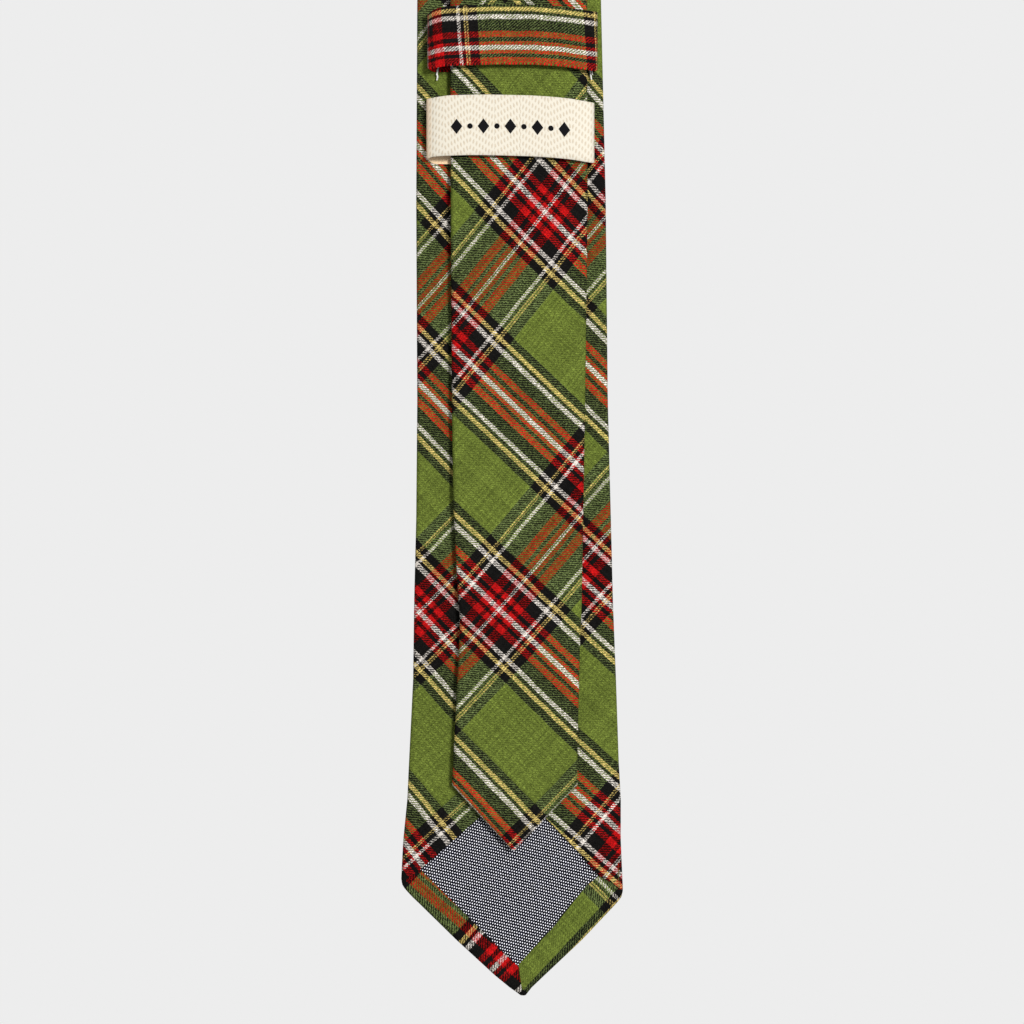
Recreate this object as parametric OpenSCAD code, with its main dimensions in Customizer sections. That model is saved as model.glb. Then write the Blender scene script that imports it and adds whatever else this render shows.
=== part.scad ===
// Slim tartan necktie, hanging folded in half over a round peg.
// The origin is on the peg's axis, inside the neck fold. +Z is up, +X runs
// along the peg, the wide front blade hangs on the +Y side and the narrow
// tail hangs on the -Y side, through its keeper loop and its label loop.

/* [Neck fold] */
// Radius of the peg that fits inside the neck fold
peg_r = 5; // [4:0.5:6]
// Half width of the neck band at the fold
neck_half = 19.5; // [18:0.5:20]

/* [Cloth] */
// Thickness of one layer of shell cloth
cloth = 0.45; // [0.4:0.05:0.5]
// Clearance between one layer and the next
lay = 0.05; // [0.03:0.01:0.08]
// Thickness of the wool interlining
core = 1.65; // [1.5:0.05:1.7]
// Thickness of the tipping (lining) cloth
lining = 0.2; // [0.15:0.05:0.25]
// Half of the overlap of the two back flaps
overlap = 4; // [3:0.5:5]

/* [Loops] */
// How far the keeper loop bulges out from the blade
keeper_rise = 7.8; // [7:0.1:9]
// Height of the keeper loop
keeper_h = 18.2; // [17:0.1:19]
// How far the label loop bulges out from the blade
label_rise = 6.8; // [6:0.1:8]
// Height of the label tape
label_h = 17.6; // [16.5:0.1:18]
// Length of the tab folded under at each end of a loop
tab = 7.5; // [6:0.5:8]

/* [Tail travel] */
// Height of the pivot at the neck
z_neck = -14; // [-16:1:-12]
// Length of each of the two swinging lengths of the tail
link = 220.5; // [218:0.5:221]
// Greatest swing of the tail at the neck
swing = 65; // [40:1:65]

/* [Hidden] */

// Thickness away from the overlapping flaps, and at them.
side_t = 2 * cloth + 2 * lay + core;
full_t = side_t + cloth + lay;
// Middle of the band at the fold; the tail hangs straight down from it.
mid_r = peg_r + full_t / 2;
// Middle of the blade where the tail lies against it.
blade_y = -mid_r + full_t + 0.35;
// Blade surface that the loops are sewn to.
sew_y = blade_y + full_t / 2 - side_t;
z_knee = z_neck - link;
z_ankle = z_knee - link;
// Heights of the two diagonal joining seams.
z_seam_f = -142;
z_seam_t = -150;
pin = 0.15;

// Outline of the blade: height, left edge, right edge.
blade_x = [[-90, -20, 20], [-142, -20.3, 20.3], [-250, -22.9, 22.5],
  [-360, -25.4, 24.4], [-440, -27.3, 25.8], [-471, -27.8, 26.1],
  [-530, -28.1, 27.5], [-588, -27.8, 28.1], [-623, -28.1, 29],
  [-647, -28.7, 29.6], [-670, -29, 30.5], [-694, -30.2, 31.3],
  [-705, -30.7, 31.9], [-717, -31.9, 31.9], [-729.5, -32.5, 32.4],
  [-731.3, -30.5, 32.5], [-762, 2.9, 2.9]];
blade_flap_l = [[0, overlap], [-698, overlap], [-702, 0.3],
  [-710.2, -9.7], [-725.1, -26.5], [-753.2, 1.8], [-756, 2], [-761, 2.7]];
blade_flap_r = [[0, -overlap], [-698, -overlap], [-702, 0.6],
  [-710.8, 10.4], [-723.2, 25.2], [-753.2, 2.05], [-756, 2.25],
  [-761, 2.85]];
blade_z = [-118, -142, -160, -180, -200, -220, -240, -260, -280, -300, -320,
  -340, -360, -380, -400, -420, -440, -471, -500, -530, -588, -623, -647,
  -670, -694, -698, -702, -703, -710.2, -717, -723.2, -725.1, -729.5,
  -731.3, -740, -750, -753.2, -756, -759];

// Outline of the tail: height, left edge, right edge.
tail_x = [[0, -19.5, 19.5], [-60, -19.4, 19.8], [-150, -19.2, 20.3],
  [-300, -18.7, 21.2], [-455, -18.2, 22], [-533, -18, 22.2],
  [-594, -17.6, 21.4], [-617, -17.3, 21], [-629, -16.8, 20.8],
  [-647, -15.7, 20.5], [-652.5, -15.3, 20.3], [-661, -15.6, 19.9],
  [-670, -16.1, 19.7], [-679, -16.5, 19.5], [-688, -17, 19.3],
  [-700.5, -17.6, 19.2], [-719.5, 0.4, 0.4]];
tail_flap_l = [[0, overlap], [-672, overlap], [-675.5, 0.3],
  [-696, -13], [-712.5, 0.2], [-718.7, 0.3]];
tail_flap_r = [[0, -overlap], [-672, -overlap], [-675.5, 0.6],
  [-696, 14.4], [-712.5, 0.4], [-718.7, 0.42]];
tail_z = [-160, -200, -245, -300, -350, -400, -445, -480, -533, -594, -617,
  -629, -640, -647, -652.5, -661, -670, -672, -675.5, -676.5, -679, -688, -696, -700.5, -706, -712.5, -715, -717];

function xl(t, z) = lookup(z, [for (p = t) [p[0], p[1]]]);
function xr(t, z) = lookup(z, [for (p = t) [p[0], p[2]]]);
function ease(u) = u <= 0 ? 0 : u >= 1 ? 1 : u * u * (3 - 2 * u);
// Middle of the blade at a height: straight at the neck, then easing in
// towards the tail.
function blade_mid(z) = mid_r + (blade_y - mid_r) * ease((-170 - z) / 270);
function rev(a) = [for (i = [len(a) - 1:-1:0]) a[i]];

// Folded cloth at one height as [across, depth from the face]. The right
// flap laps over the left one until the flaps part at the lining opening.
function folded(t, fl, fr, z, part_z, hem_z) =
  let (l = xl(t, z), r = xr(t, z),
       a = lookup(z, fl), b = lookup(z, fr),
       s = lookup(z, [[part_z - 1, 0.04], [part_z, cloth + lay]]),
       m = max(a, b),
       w = min(0.3 * (r - l), lookup(z, [[hem_z - 1, 1.25], [hem_z + 3, 0.9]])),
       q = min(0.2 * (r - l), 0.8 * lookup(z, [[hem_z - 40, 0.5], [hem_z, 1]])),
       c = min(0.6, (r - w - m) / 3),
       i0 = cloth, i1 = side_t - cloth, d = side_t)
  [[b, d + s], [b, i1 + s], [m + c, i1 + s], [m + 2 * c, i1],
   [r - w, i1], [r - w, i0], [l + w, i0], [l + w, i1],
   [a, i1], [a, d], [l + q, d], [l + q / 4, d - 0.45], [l, d - 0.85],
   [l, 0.85], [l + q / 4, 0.4], [l + q, 0],
   [r - q, 0], [r - q / 4, 0.4], [r, 0.85], [r, d - 0.85],
   [r - q / 4, d - 0.45], [r - q, d], [m + 2 * c, d], [m + c, d + s]];

// Flat layer at one height, clear of the folded edges.
function layer(t, z, d0, d1, hem_z, in0) =
  let (w = in0 + lookup(z, [[hem_z - 1, 1.45], [hem_z + 3, 1]]))
  [[xl(t, z) + w, d0], [xr(t, z) - w, d0], [xr(t, z) - w, d1],
   [xl(t, z) + w, d1]];

// Solid through a stack of closed rings, the highest ring first.
module sweep(rings) {
  n = len(rings[0]); m = len(rings);
  polyhedron(points = [for (r = rings) each r], faces = concat(
    [[for (i = [n - 1:-1:0]) i]],
    [for (k = [0:m - 2]) for (i = [0:n - 1])
      let (j = (i + 1) % n) [k * n + i, k * n + j, (k + 1) * n + j]],
    [for (k = [0:m - 2]) for (i = [0:n - 1])
      let (j = (i + 1) % n) [k * n + i, (k + 1) * n + j, (k + 1) * n + i]],
    [[for (i = [0:n - 1]) (m - 1) * n + i]]));
}

// Rings of the blade (its face is on +Y) and of the tail (face on -Y).
function on_blade(s, z) =
  [for (p = rev(s)) [p[0], blade_mid(z) + full_t / 2 - p[1], z]];
function on_tail(s, z) =
  [for (p = s) [p[0], -mid_r - full_t / 2 + p[1], z]];
function zs(all, top, low) = concat([top],
  [for (z = all) if (z < top - 0.5 && z > low + 0.5) z], [low]);

module blade_shell(top, low) sweep([for (z = zs(blade_z, top, low))
  on_blade(folded(blade_x, blade_flap_l, blade_flap_r, z, -702, -729.5), z)]);
module blade_layer(top, low, d0, d1, in0 = 0)
  sweep([for (z = zs(blade_z, top, low))
    on_blade(layer(blade_x, z, d0, d1, -729.5, in0), z)]);
module tail_shell(top, low) sweep([for (z = zs(tail_z, top, low))
  on_tail(folded(tail_x, tail_flap_l, tail_flap_r, z, -675.5, -700.5), z)]);
module tail_layer(top, low, d0, d1, in0 = 0)
  sweep([for (z = zs(tail_z, top, low))
    on_tail(layer(tail_x, z, d0, d1, -700.5, in0), z)]);

// Everything above a diagonal joining seam, or below it.
module above_seam(z0, gap) translate([0, 0, z0]) rotate([0, -45, 0])
  translate([-200, -50, gap]) cube([400, 100, 300]);
module below_seam(z0, gap) translate([0, 0, z0]) rotate([0, -45, 0])
  translate([-200, -50, -300 - gap]) cube([400, 100, 300]);

// Room for a fold of the tail: a flat slit on one side of the pivot and a
// wedge on the side that closes up. side is -1 where the fold closes
// towards -Y and 1 where it closes towards +Y.
module fold_gap(z0, angle, side) {
  h = 10 * tan(angle / 2);
  translate([-60, -mid_r, z0]) rotate([90, 0, 90]) linear_extrude(120)
    polygon([[-side * 10, pin], [0, pin], [side * 10, h + pin],
      [side * 10, -h - pin], [0, -pin], [-side * 10, -pin]]);
}

// Flat plate in the plane of the tie: outline in X and Z, between two
// depths in Y.
module plate(pts, y0, y1) translate([0, y1, 0]) rotate([90, 0, 0])
  linear_extrude(y1 - y0) polygon(pts);
function edges(t, top, low, w) =
  [[xl(t, top) + w, top], [xr(t, top) - w, top],
   [xr(t, low) - w, low], [xl(t, low) + w, low]];
function neck_edges(top, low, w) =
  [[-neck_half + w, top], [neck_half - w, top], [20.3 - w, -142],
   [xr(blade_x, low) - w, low], [xl(blade_x, low) + w, low],
   [-20.3 + w, -142]];

// Half ring over the peg, from depth d0 to d1 outside it, inset by w.
module over_peg(d0, d1, w) rotate([90, 0, 90])
  rotate_extrude(angle = 180, $fn = 96)
    translate([peg_r + d0, -neck_half + w])
      square([d1 - d0, 2 * (neck_half - w)]);

module stitch(x, y, z, l, w, d, tilt = 0)
  translate([x, y, z]) rotate([0, tilt, 0])
    translate([-w / 2, -d / 2, -l / 2]) cube([w, d, l]);

// Arched band of a loop in X and Y, with its end tabs turned under.
function bow(t, a, h) = [a * sign(cos(t)) * pow(abs(cos(t)), 1 / 3),
  h * pow(abs(sin(t)), 1 / 3)];
module loop_band(xm, a, rise, thick, under, z0, h) {
  out = [for (i = [0:36]) let (p = bow(180 - i * 5, a, rise))
    [xm + p[0], sew_y - lay - p[1]]];
  inn = [for (i = [0:36])
    let (p = bow(i * 5, a - thick, rise - thick - under))
    [xm + p[0], sew_y - lay - under - p[1]]];
  translate([0, 0, z0]) linear_extrude(h) polygon(concat(out,
    [[xm + a - tab, sew_y - lay], [xm + a - tab, sew_y - lay - under]], inn,
    [[xm - a + tab, sew_y - lay - under], [xm - a + tab, sew_y - lay]]));
}
function bow_y(x, a, rise) = sew_y - lay
  - rise * pow(1 - pow(abs(x) / a, 6), 1 / 6);

// ---- front blade ----
module front_shell() color("#3f5230") difference() {
  blade_shell(-118, -761);
  above_seam(z_seam_f, -0.25);
}
module front_interlining() color("#e8e2d2") {
  blade_layer(z_seam_f - 0.1, -600, cloth + lay, cloth + lay + core - 0.3);
  blade_layer(-600.05, -755, cloth + lay, cloth + lay + core - 0.3);
}
module front_tipping() color("#5a6070")
  blade_layer(-610, -755, side_t - cloth - lay - lining,
    side_t - cloth - lay, 0.2);
module front_tipping_stitches() color("#3a4a30") {
  y0 = blade_y + full_t / 2 - side_t + cloth - 0.14;
  for (i = [1:10]) let (u = i / 11) {
    stitch(-24.9 + 26.2 * u, y0, -724.9 - 26.6 * u, 1.6, 0.22, 0.18, -44);
    stitch(23.6 - 21.6 * u, y0, -723.4 - 27.6 * u, 1.6, 0.22, 0.18, 38);
  }
}
module front_slip_stitch() color("#d8d4c4") for (i = [0:42])
  let (z = -176 - i * 12)
    stitch(-overlap - 0.45, blade_mid(z) + full_t / 2 - side_t - 0.17, z,
      3, 0.4, 0.22, 12);
module front_bar_tack() color("#d8d4c4") for (i = [0:5])
  stitch(-6.4 + i * 0.3, blade_y + full_t / 2 - side_t - 0.2, -689,
    2.6, 0.22, 0.25, 8);
module front_joining_seam() color("#2a3a26") for (i = [-8:8])
  stitch(i * 2.3, mid_r + full_t / 2 - 0.25, z_seam_f + i * 2.3,
    2.2, 0.25, 0.25, 45);

// ---- neck ----
module neck_gore() color("#4a5c38") {
  difference() {
    over_peg(0, full_t, 0);
    over_peg(cloth, full_t - cloth, 0.9);
  }
  difference() {
    plate(neck_edges(0, -166, 0), peg_r, peg_r + full_t);
    plate(neck_edges(1, -167, 0.9), peg_r + cloth, peg_r + full_t - cloth);
    below_seam(z_seam_f, -0.25);
  }
  difference() {
    plate(edges(tail_x, 0, z_neck - 3, 0), -peg_r - full_t, -peg_r);
    plate(edges(tail_x, 1, z_neck - 4, 0.9),
      -peg_r - full_t + cloth, -peg_r - cloth);
    translate([-50, -50, z_neck - 20]) cube([100, 100, 20 + pin]);
    fold_gap(z_neck, swing, -1);
  }
}
module neck_interlining() color("#e8e2d2") {
  over_peg(cloth + lay, full_t - cloth - lay, 1);
  plate(edges([[0, -neck_half, neck_half], [-142, -20.3, 20.3]], 0,
    z_seam_f + 0.1, 1), peg_r + cloth + lay + 0.5, peg_r + full_t - cloth - lay);
  difference() {
    plate(edges(tail_x, 0, z_neck - 3, 1),
      -peg_r - full_t + cloth + lay, -peg_r - cloth - lay);
    translate([-50, -50, z_neck - 20]) cube([100, 100, 20 + pin]);
    fold_gap(z_neck, swing, -1);
  }
}

// ---- loops on the blade's back ----
module keeper_loop() color("#8c3a26")
  loop_band(-0.05, 24.55, keeper_rise, 0.9, 0.55, -491.2, keeper_h);
module keeper_stitches() color("#f0eee4") {
  for (s = [-1, 1]) for (i = [0:3])
    stitch(-0.05 + s * 20.6, sew_y - lay - 0.55 - 0.14,
      -476 - i * 4, 0.3, 1.6, 0.2);
  translate([-22, sew_y - 0.3, -494.4]) cylinder(d = 0.45, h = 3.1, $fn = 16);
  translate([23, sew_y - 0.3, -493.9]) cylinder(d = 0.45, h = 2.6, $fn = 16);
}
module label_tape() color("#efe6d2")
  loop_band(-0.45, 24.45, label_rise, 0.6, 0.45, -517.6, label_h);
module label_motif() color("#15151a") for (i = [-4:4])
  let (x = i * 3.9, y = bow_y(x, 24.45, label_rise) - 0.12)
    if (i % 2 == 0)
      plate([for (p = [[-1.6, 0], [0, -2.1], [1.6, 0], [0, 2.1]])
        [x - 0.45 + p[0], -508 + p[1]]], y - 0.2, y);
    else
      plate([for (p = [[-0.9, -0.45], [0.9, -0.45], [0.9, 0.45],
        [-0.9, 0.45]]) [x - 0.45 + p[0], -508 + p[1]]], y - 0.2, y);
module label_stitches() color("#e4dcc6")
  for (s = [-1, 1]) for (i = [0:3])
    stitch(-0.45 + s * 20.4, sew_y - lay - 0.45 - 0.14,
      -503 - i * 3.8, 0.3, 1.5, 0.2);

// ---- tail, from the neck pivot to its point ----
module neck_gore_tail_side() color("#4a5c38") difference() {
  plate(edges(tail_x, z_neck + 3, -175, 0), -peg_r - full_t, -peg_r);
  plate(edges(tail_x, z_neck + 4, -176, 0.9),
    -peg_r - full_t + cloth, -peg_r - cloth);
  translate([-50, -50, z_neck - pin]) cube([100, 100, 20]);
  fold_gap(z_neck, swing, -1);
  below_seam(z_seam_t, -0.25);
}
module neck_interlining_tail_side() color("#e8e2d2") difference() {
  plate(edges(tail_x, z_neck + 3, z_seam_t + 0.1, 1),
    -peg_r - full_t + cloth + lay, -peg_r - cloth - lay - 0.5);
  translate([-50, -50, z_neck - pin]) cube([100, 100, 20]);
  fold_gap(z_neck, swing, -1);
}
module tail_joining_seam() color("#2a3a26") for (i = [-7:8])
  stitch(i * 2.3, -mid_r - full_t / 2 + 0.25, z_seam_t + i * 2.3,
    2.2, 0.25, 0.25, 45);
module tail_shell_upper() color("#3f5230") difference() {
  tail_shell(-125, z_knee);
  above_seam(z_seam_t, -0.25);
  fold_gap(z_knee, 2 * swing, 1);
}
module tail_interlining_upper() color("#e8e2d2") difference() {
  tail_layer(z_seam_t - 0.1, z_knee, cloth + lay, cloth + lay + core);
  fold_gap(z_knee, 2 * swing, 1);
}
module tail_slip_stitch_upper() color("#d8d4c4") for (i = [0:4])
  stitch(-overlap - 0.45, -mid_r - full_t / 2 + side_t + 0.17, -176 - i * 12,
    3, 0.4, 0.22, 12);
module tail_shell_middle() color("#3f5230") difference() {
  tail_shell(z_knee, z_ankle);
  fold_gap(z_knee, 2 * swing, 1);
  fold_gap(z_ankle, swing, -1);
}
module tail_interlining_middle() color("#e8e2d2") difference() {
  tail_layer(z_knee, z_ankle, cloth + lay, cloth + lay + core);
  fold_gap(z_knee, 2 * swing, 1);
  fold_gap(z_ankle, swing, -1);
}
module tail_slip_stitch_middle() color("#d8d4c4") for (i = [0:16])
  stitch(-overlap - 0.45, -mid_r - full_t / 2 + side_t + 0.17, -246 - i * 12,
    3, 0.4, 0.22, 12);
module tail_shell_end() color("#3f5230") difference() {
  tail_shell(z_ankle, -718.7);
  fold_gap(z_ankle, swing, -1);
}
module tail_interlining_end() color("#e8e2d2") difference() {
  tail_layer(z_ankle, -713.8, cloth + lay, cloth + lay + core - 0.3);
  fold_gap(z_ankle, swing, -1);
}
module tail_tipping() color("#5a6070")
  tail_layer(-640, -713.8, side_t - cloth - lay - lining,
    side_t - cloth - lay, 0.2);
module tail_tipping_stitches() color("#3a4a30") {
  y0 = -mid_r - full_t / 2 + side_t - cloth + 0.14;
  for (i = [1:5]) let (u = i / 6) {
    stitch(-11.4 + 11 * u, y0, -696 - 13.8 * u, 1.4, 0.22, 0.18, -39);
    stitch(12.8 - 11.6 * u, y0, -696 - 13.8 * u, 1.4, 0.22, 0.18, 40);
  }
}
module tail_slip_stitch_end() color("#d8d4c4") for (i = [0:16])
  stitch(-overlap - 0.45, -mid_r - full_t / 2 + side_t + 0.17, -464 - i * 12,
    3, 0.4, 0.22, 12);
module tail_bar_tack() color("#d8d4c4") for (i = [0:4])
  stitch(-6.2 + i * 0.3, -mid_r - full_t / 2 + side_t + 0.2, -667,
    2.2, 0.22, 0.25, 8);

front_shell();
front_interlining();
front_tipping();
front_tipping_stitches();
front_slip_stitch();
front_bar_tack();
front_joining_seam();
neck_gore();
neck_interlining();
keeper_loop();
keeper_stitches();
label_tape();
label_motif();
label_stitches();
neck_gore_tail_side();
neck_interlining_tail_side();
tail_joining_seam();
tail_shell_upper();
tail_interlining_upper();
tail_slip_stitch_upper();
tail_shell_middle();
tail_interlining_middle();
tail_slip_stitch_middle();
tail_shell_end();
tail_interlining_end();
tail_tipping();
tail_tipping_stitches();
tail_slip_stitch_end();
tail_bar_tack();
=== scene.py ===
import math
import bpy
import numpy as np
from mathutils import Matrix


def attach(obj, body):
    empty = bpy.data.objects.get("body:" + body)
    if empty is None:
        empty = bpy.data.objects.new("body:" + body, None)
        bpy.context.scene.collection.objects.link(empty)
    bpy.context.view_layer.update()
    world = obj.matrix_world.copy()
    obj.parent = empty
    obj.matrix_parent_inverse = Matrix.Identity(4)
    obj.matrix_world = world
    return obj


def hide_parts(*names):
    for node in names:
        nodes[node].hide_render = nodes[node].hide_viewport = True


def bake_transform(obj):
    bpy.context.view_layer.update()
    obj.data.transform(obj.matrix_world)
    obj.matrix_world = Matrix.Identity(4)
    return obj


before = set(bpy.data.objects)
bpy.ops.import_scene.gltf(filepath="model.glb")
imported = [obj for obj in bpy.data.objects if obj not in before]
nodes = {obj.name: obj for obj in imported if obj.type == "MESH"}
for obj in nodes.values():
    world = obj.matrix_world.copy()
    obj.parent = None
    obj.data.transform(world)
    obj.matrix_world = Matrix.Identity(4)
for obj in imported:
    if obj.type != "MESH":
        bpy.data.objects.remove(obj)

# Sizes are in millimetres up to the point where a mesh is made.
MM = 0.001
scene = bpy.context.scene
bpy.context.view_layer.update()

# ---------------------------------------------------------------- sizes
CLOTH, LAY, CORE, LINING = 0.45, 0.05, 1.65, 0.2
SIDE = 2 * CLOTH + 2 * LAY + CORE
FULL = SIDE + CLOTH + LAY
PEG = 5.0
MID = PEG + FULL / 2
BLADE_Y = -MID + FULL + 0.35
SEW_Y = BLADE_Y + FULL / 2 - SIDE
Z_NECK, Z_KNEE, Z_ANKLE = -14.0, -234.5, -455.0
SEAM_F, SEAM_T = -142.0, -150.0
OVER = 4.0

BLADE_X = [[0, -19.5, 19.5], [-90, -20, 20], [-142, -20.3, 20.3],
           [-250, -22.9, 22.5], [-360, -25.4, 24.4], [-440, -27.3, 25.8],
           [-471, -27.8, 26.1], [-530, -28.1, 27.5], [-588, -27.8, 28.1],
           [-623, -28.1, 29], [-647, -28.7, 29.6], [-670, -29, 30.5],
           [-694, -30.2, 31.3], [-705, -30.7, 31.9], [-717, -31.9, 31.9],
           [-728.6, -32.5, 32.4], [-730.4, -32.1, 32.5], [-732.1, -30.7, 32.5],
           [-733.9, -29.0, 32.0], [-735.6, -27.2, 30.6], [-746.2, -16.4, 20.6],
           [-756.7, -5.0, 9.5], [-760.2, -0.7, 5.8], [-762.3, 2.3, 4.15],
           [-762.9, 3.3, 3.3]]
TAIL_X = [[0, -19.5, 19.5], [-60, -19.4, 19.8], [-150, -19.2, 20.3],
          [-300, -18.7, 21.2], [-455, -18.2, 22], [-533, -18, 22.2],
          [-594, -17.6, 21.4], [-617, -17.3, 21], [-629, -16.8, 20.8],
          [-647, -15.7, 20.5], [-652.5, -15.3, 20.3], [-661, -15.6, 19.9],
          [-670, -16.1, 19.7], [-679, -16.5, 19.5], [-688, -17, 19.3],
          [-701, -17.6, 19.2], [-720.5, 0.4, 0.4]]


def table(rows, col, z):
    rows = sorted(rows)
    return np.interp(z, [r[0] for r in rows], [r[col] for r in rows])


def ease(u):
    u = np.clip(u, 0, 1)
    return u * u * (3 - 2 * u)


def blade_mid(z):
    return MID + (BLADE_Y - MID) * ease((-170 - z) / 270)


# ---------------------------------------------------------------- camera
# The camera stands level, 600 mm in front of the plane of the tie.
DIST, PLANE_Y, CAM_Z = 600.0, -3.6, -620.87
UNIT = 0.2928          # millimetres across one unit of the picture plane
cam_data = bpy.data.cameras.new("camera")
cam_data.sensor_width = 36
cam_data.lens = 36 * DIST / (UNIT * 1024)
cam_data.clip_start, cam_data.clip_end = 0.05, 20
cam = bpy.data.objects.new("camera", cam_data)
scene.collection.objects.link(cam)
cam.location = (0, (PLANE_Y - DIST) * MM, CAM_Z * MM)
cam.rotation_euler = (math.pi / 2, 0, 0)
scene.camera = cam


def at(u, v, y):
    """Point in the frame that stands at place (u, v) of the picture plane,
    where (512, 512) is the middle, and at depth y."""
    k = (DIST + (y - PLANE_Y)) / DIST
    return (u - 512) * UNIT * k, CAM_Z + (512 - v) * UNIT * k


def across(x):
    return np.asarray(x) / UNIT


def down(z):
    """Height to the cloth maps' own vertical coordinate."""
    return 494 - (np.asarray(z) + 762) / UNIT


# ---------------------------------------------------------------- cloth maps
# Where each panel of cloth lies in the tartan: U counts across the stripes
# that run down to the right and V across those that run down to the left.
P_A, P_B = 158.4, 217.3
TAIL_MAP = [70.67994, -0.68367, 0.7298, 156.40714, 0.75634, 0.64395,
            -0.14108, 0.36898, 0.33539, 0.78342, -0.9456, 1.43823,
            -2.42044, 1.1]
RIGHT_MAP = [147.62809, -0.64317, 0.7133, 122.42311, 0.77091, 0.69265,
             0.3438, 1.83757, -3.14437, -0.467, -1.38442, -1.02022,
             -1.13702, -1.34678]
LEFT_MAP = [12.87865, -0.7759, 0.69733, 201.42018, 0.6461, 0.70846,
            -0.37239, 0.04557, -3.54675, 0.72593, -1.12457, -5.57568,
            -2.3193, -0.24058]


def cloth_at(p, x, y, top=-330.0, low=368.0):
    """(U, V) of a panel at x, y, straight beyond the part it was set on."""
    x, y = np.asarray(x, float), np.asarray(y, float)
    xc, yc = np.clip(x, -125, 125), np.clip(y, top, low)
    out = []
    for c in ((p[0], p[1], p[2], p[6], p[7], p[8], p[12]),
              (p[3], p[4], p[5], p[9], p[10], p[11], p[13])):
        v = (c[0] + c[1] * xc + c[2] * yc
             + (c[3] * yc ** 2 + c[4] * xc * yc + c[5] * xc ** 2) * 1e-4
             + c[6] * yc ** 3 * 1e-7)
        gx = c[1] + (c[4] * yc + 2 * c[5] * xc) * 1e-4
        gy = c[2] + (2 * c[3] * yc + c[4] * xc) * 1e-4 + 3 * c[6] * yc ** 2 * 1e-7
        out.append(v + gx * (x - xc) + gy * (y - yc))
    return out[0], out[1]


def hem_left_at(x, y):
    """The left hem of the blade: the same cloth, turned over its low edge."""
    u = -0.3 + 0.685 * (x + 16.2) + 0.629 * (y - 464.5)
    v = -23.0 + 0.62 * (x + 16.2) - 0.70 * (y - 464.5)
    return u, v


def hem_right_at(x, y):
    u = -109.8 - 0.724 * (x - 89.95) - 0.675 * (y - 404.85)
    v = 43.4 - 0.675 * (x - 89.2) + 0.675 * (y - 391.35)
    return u, v


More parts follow.
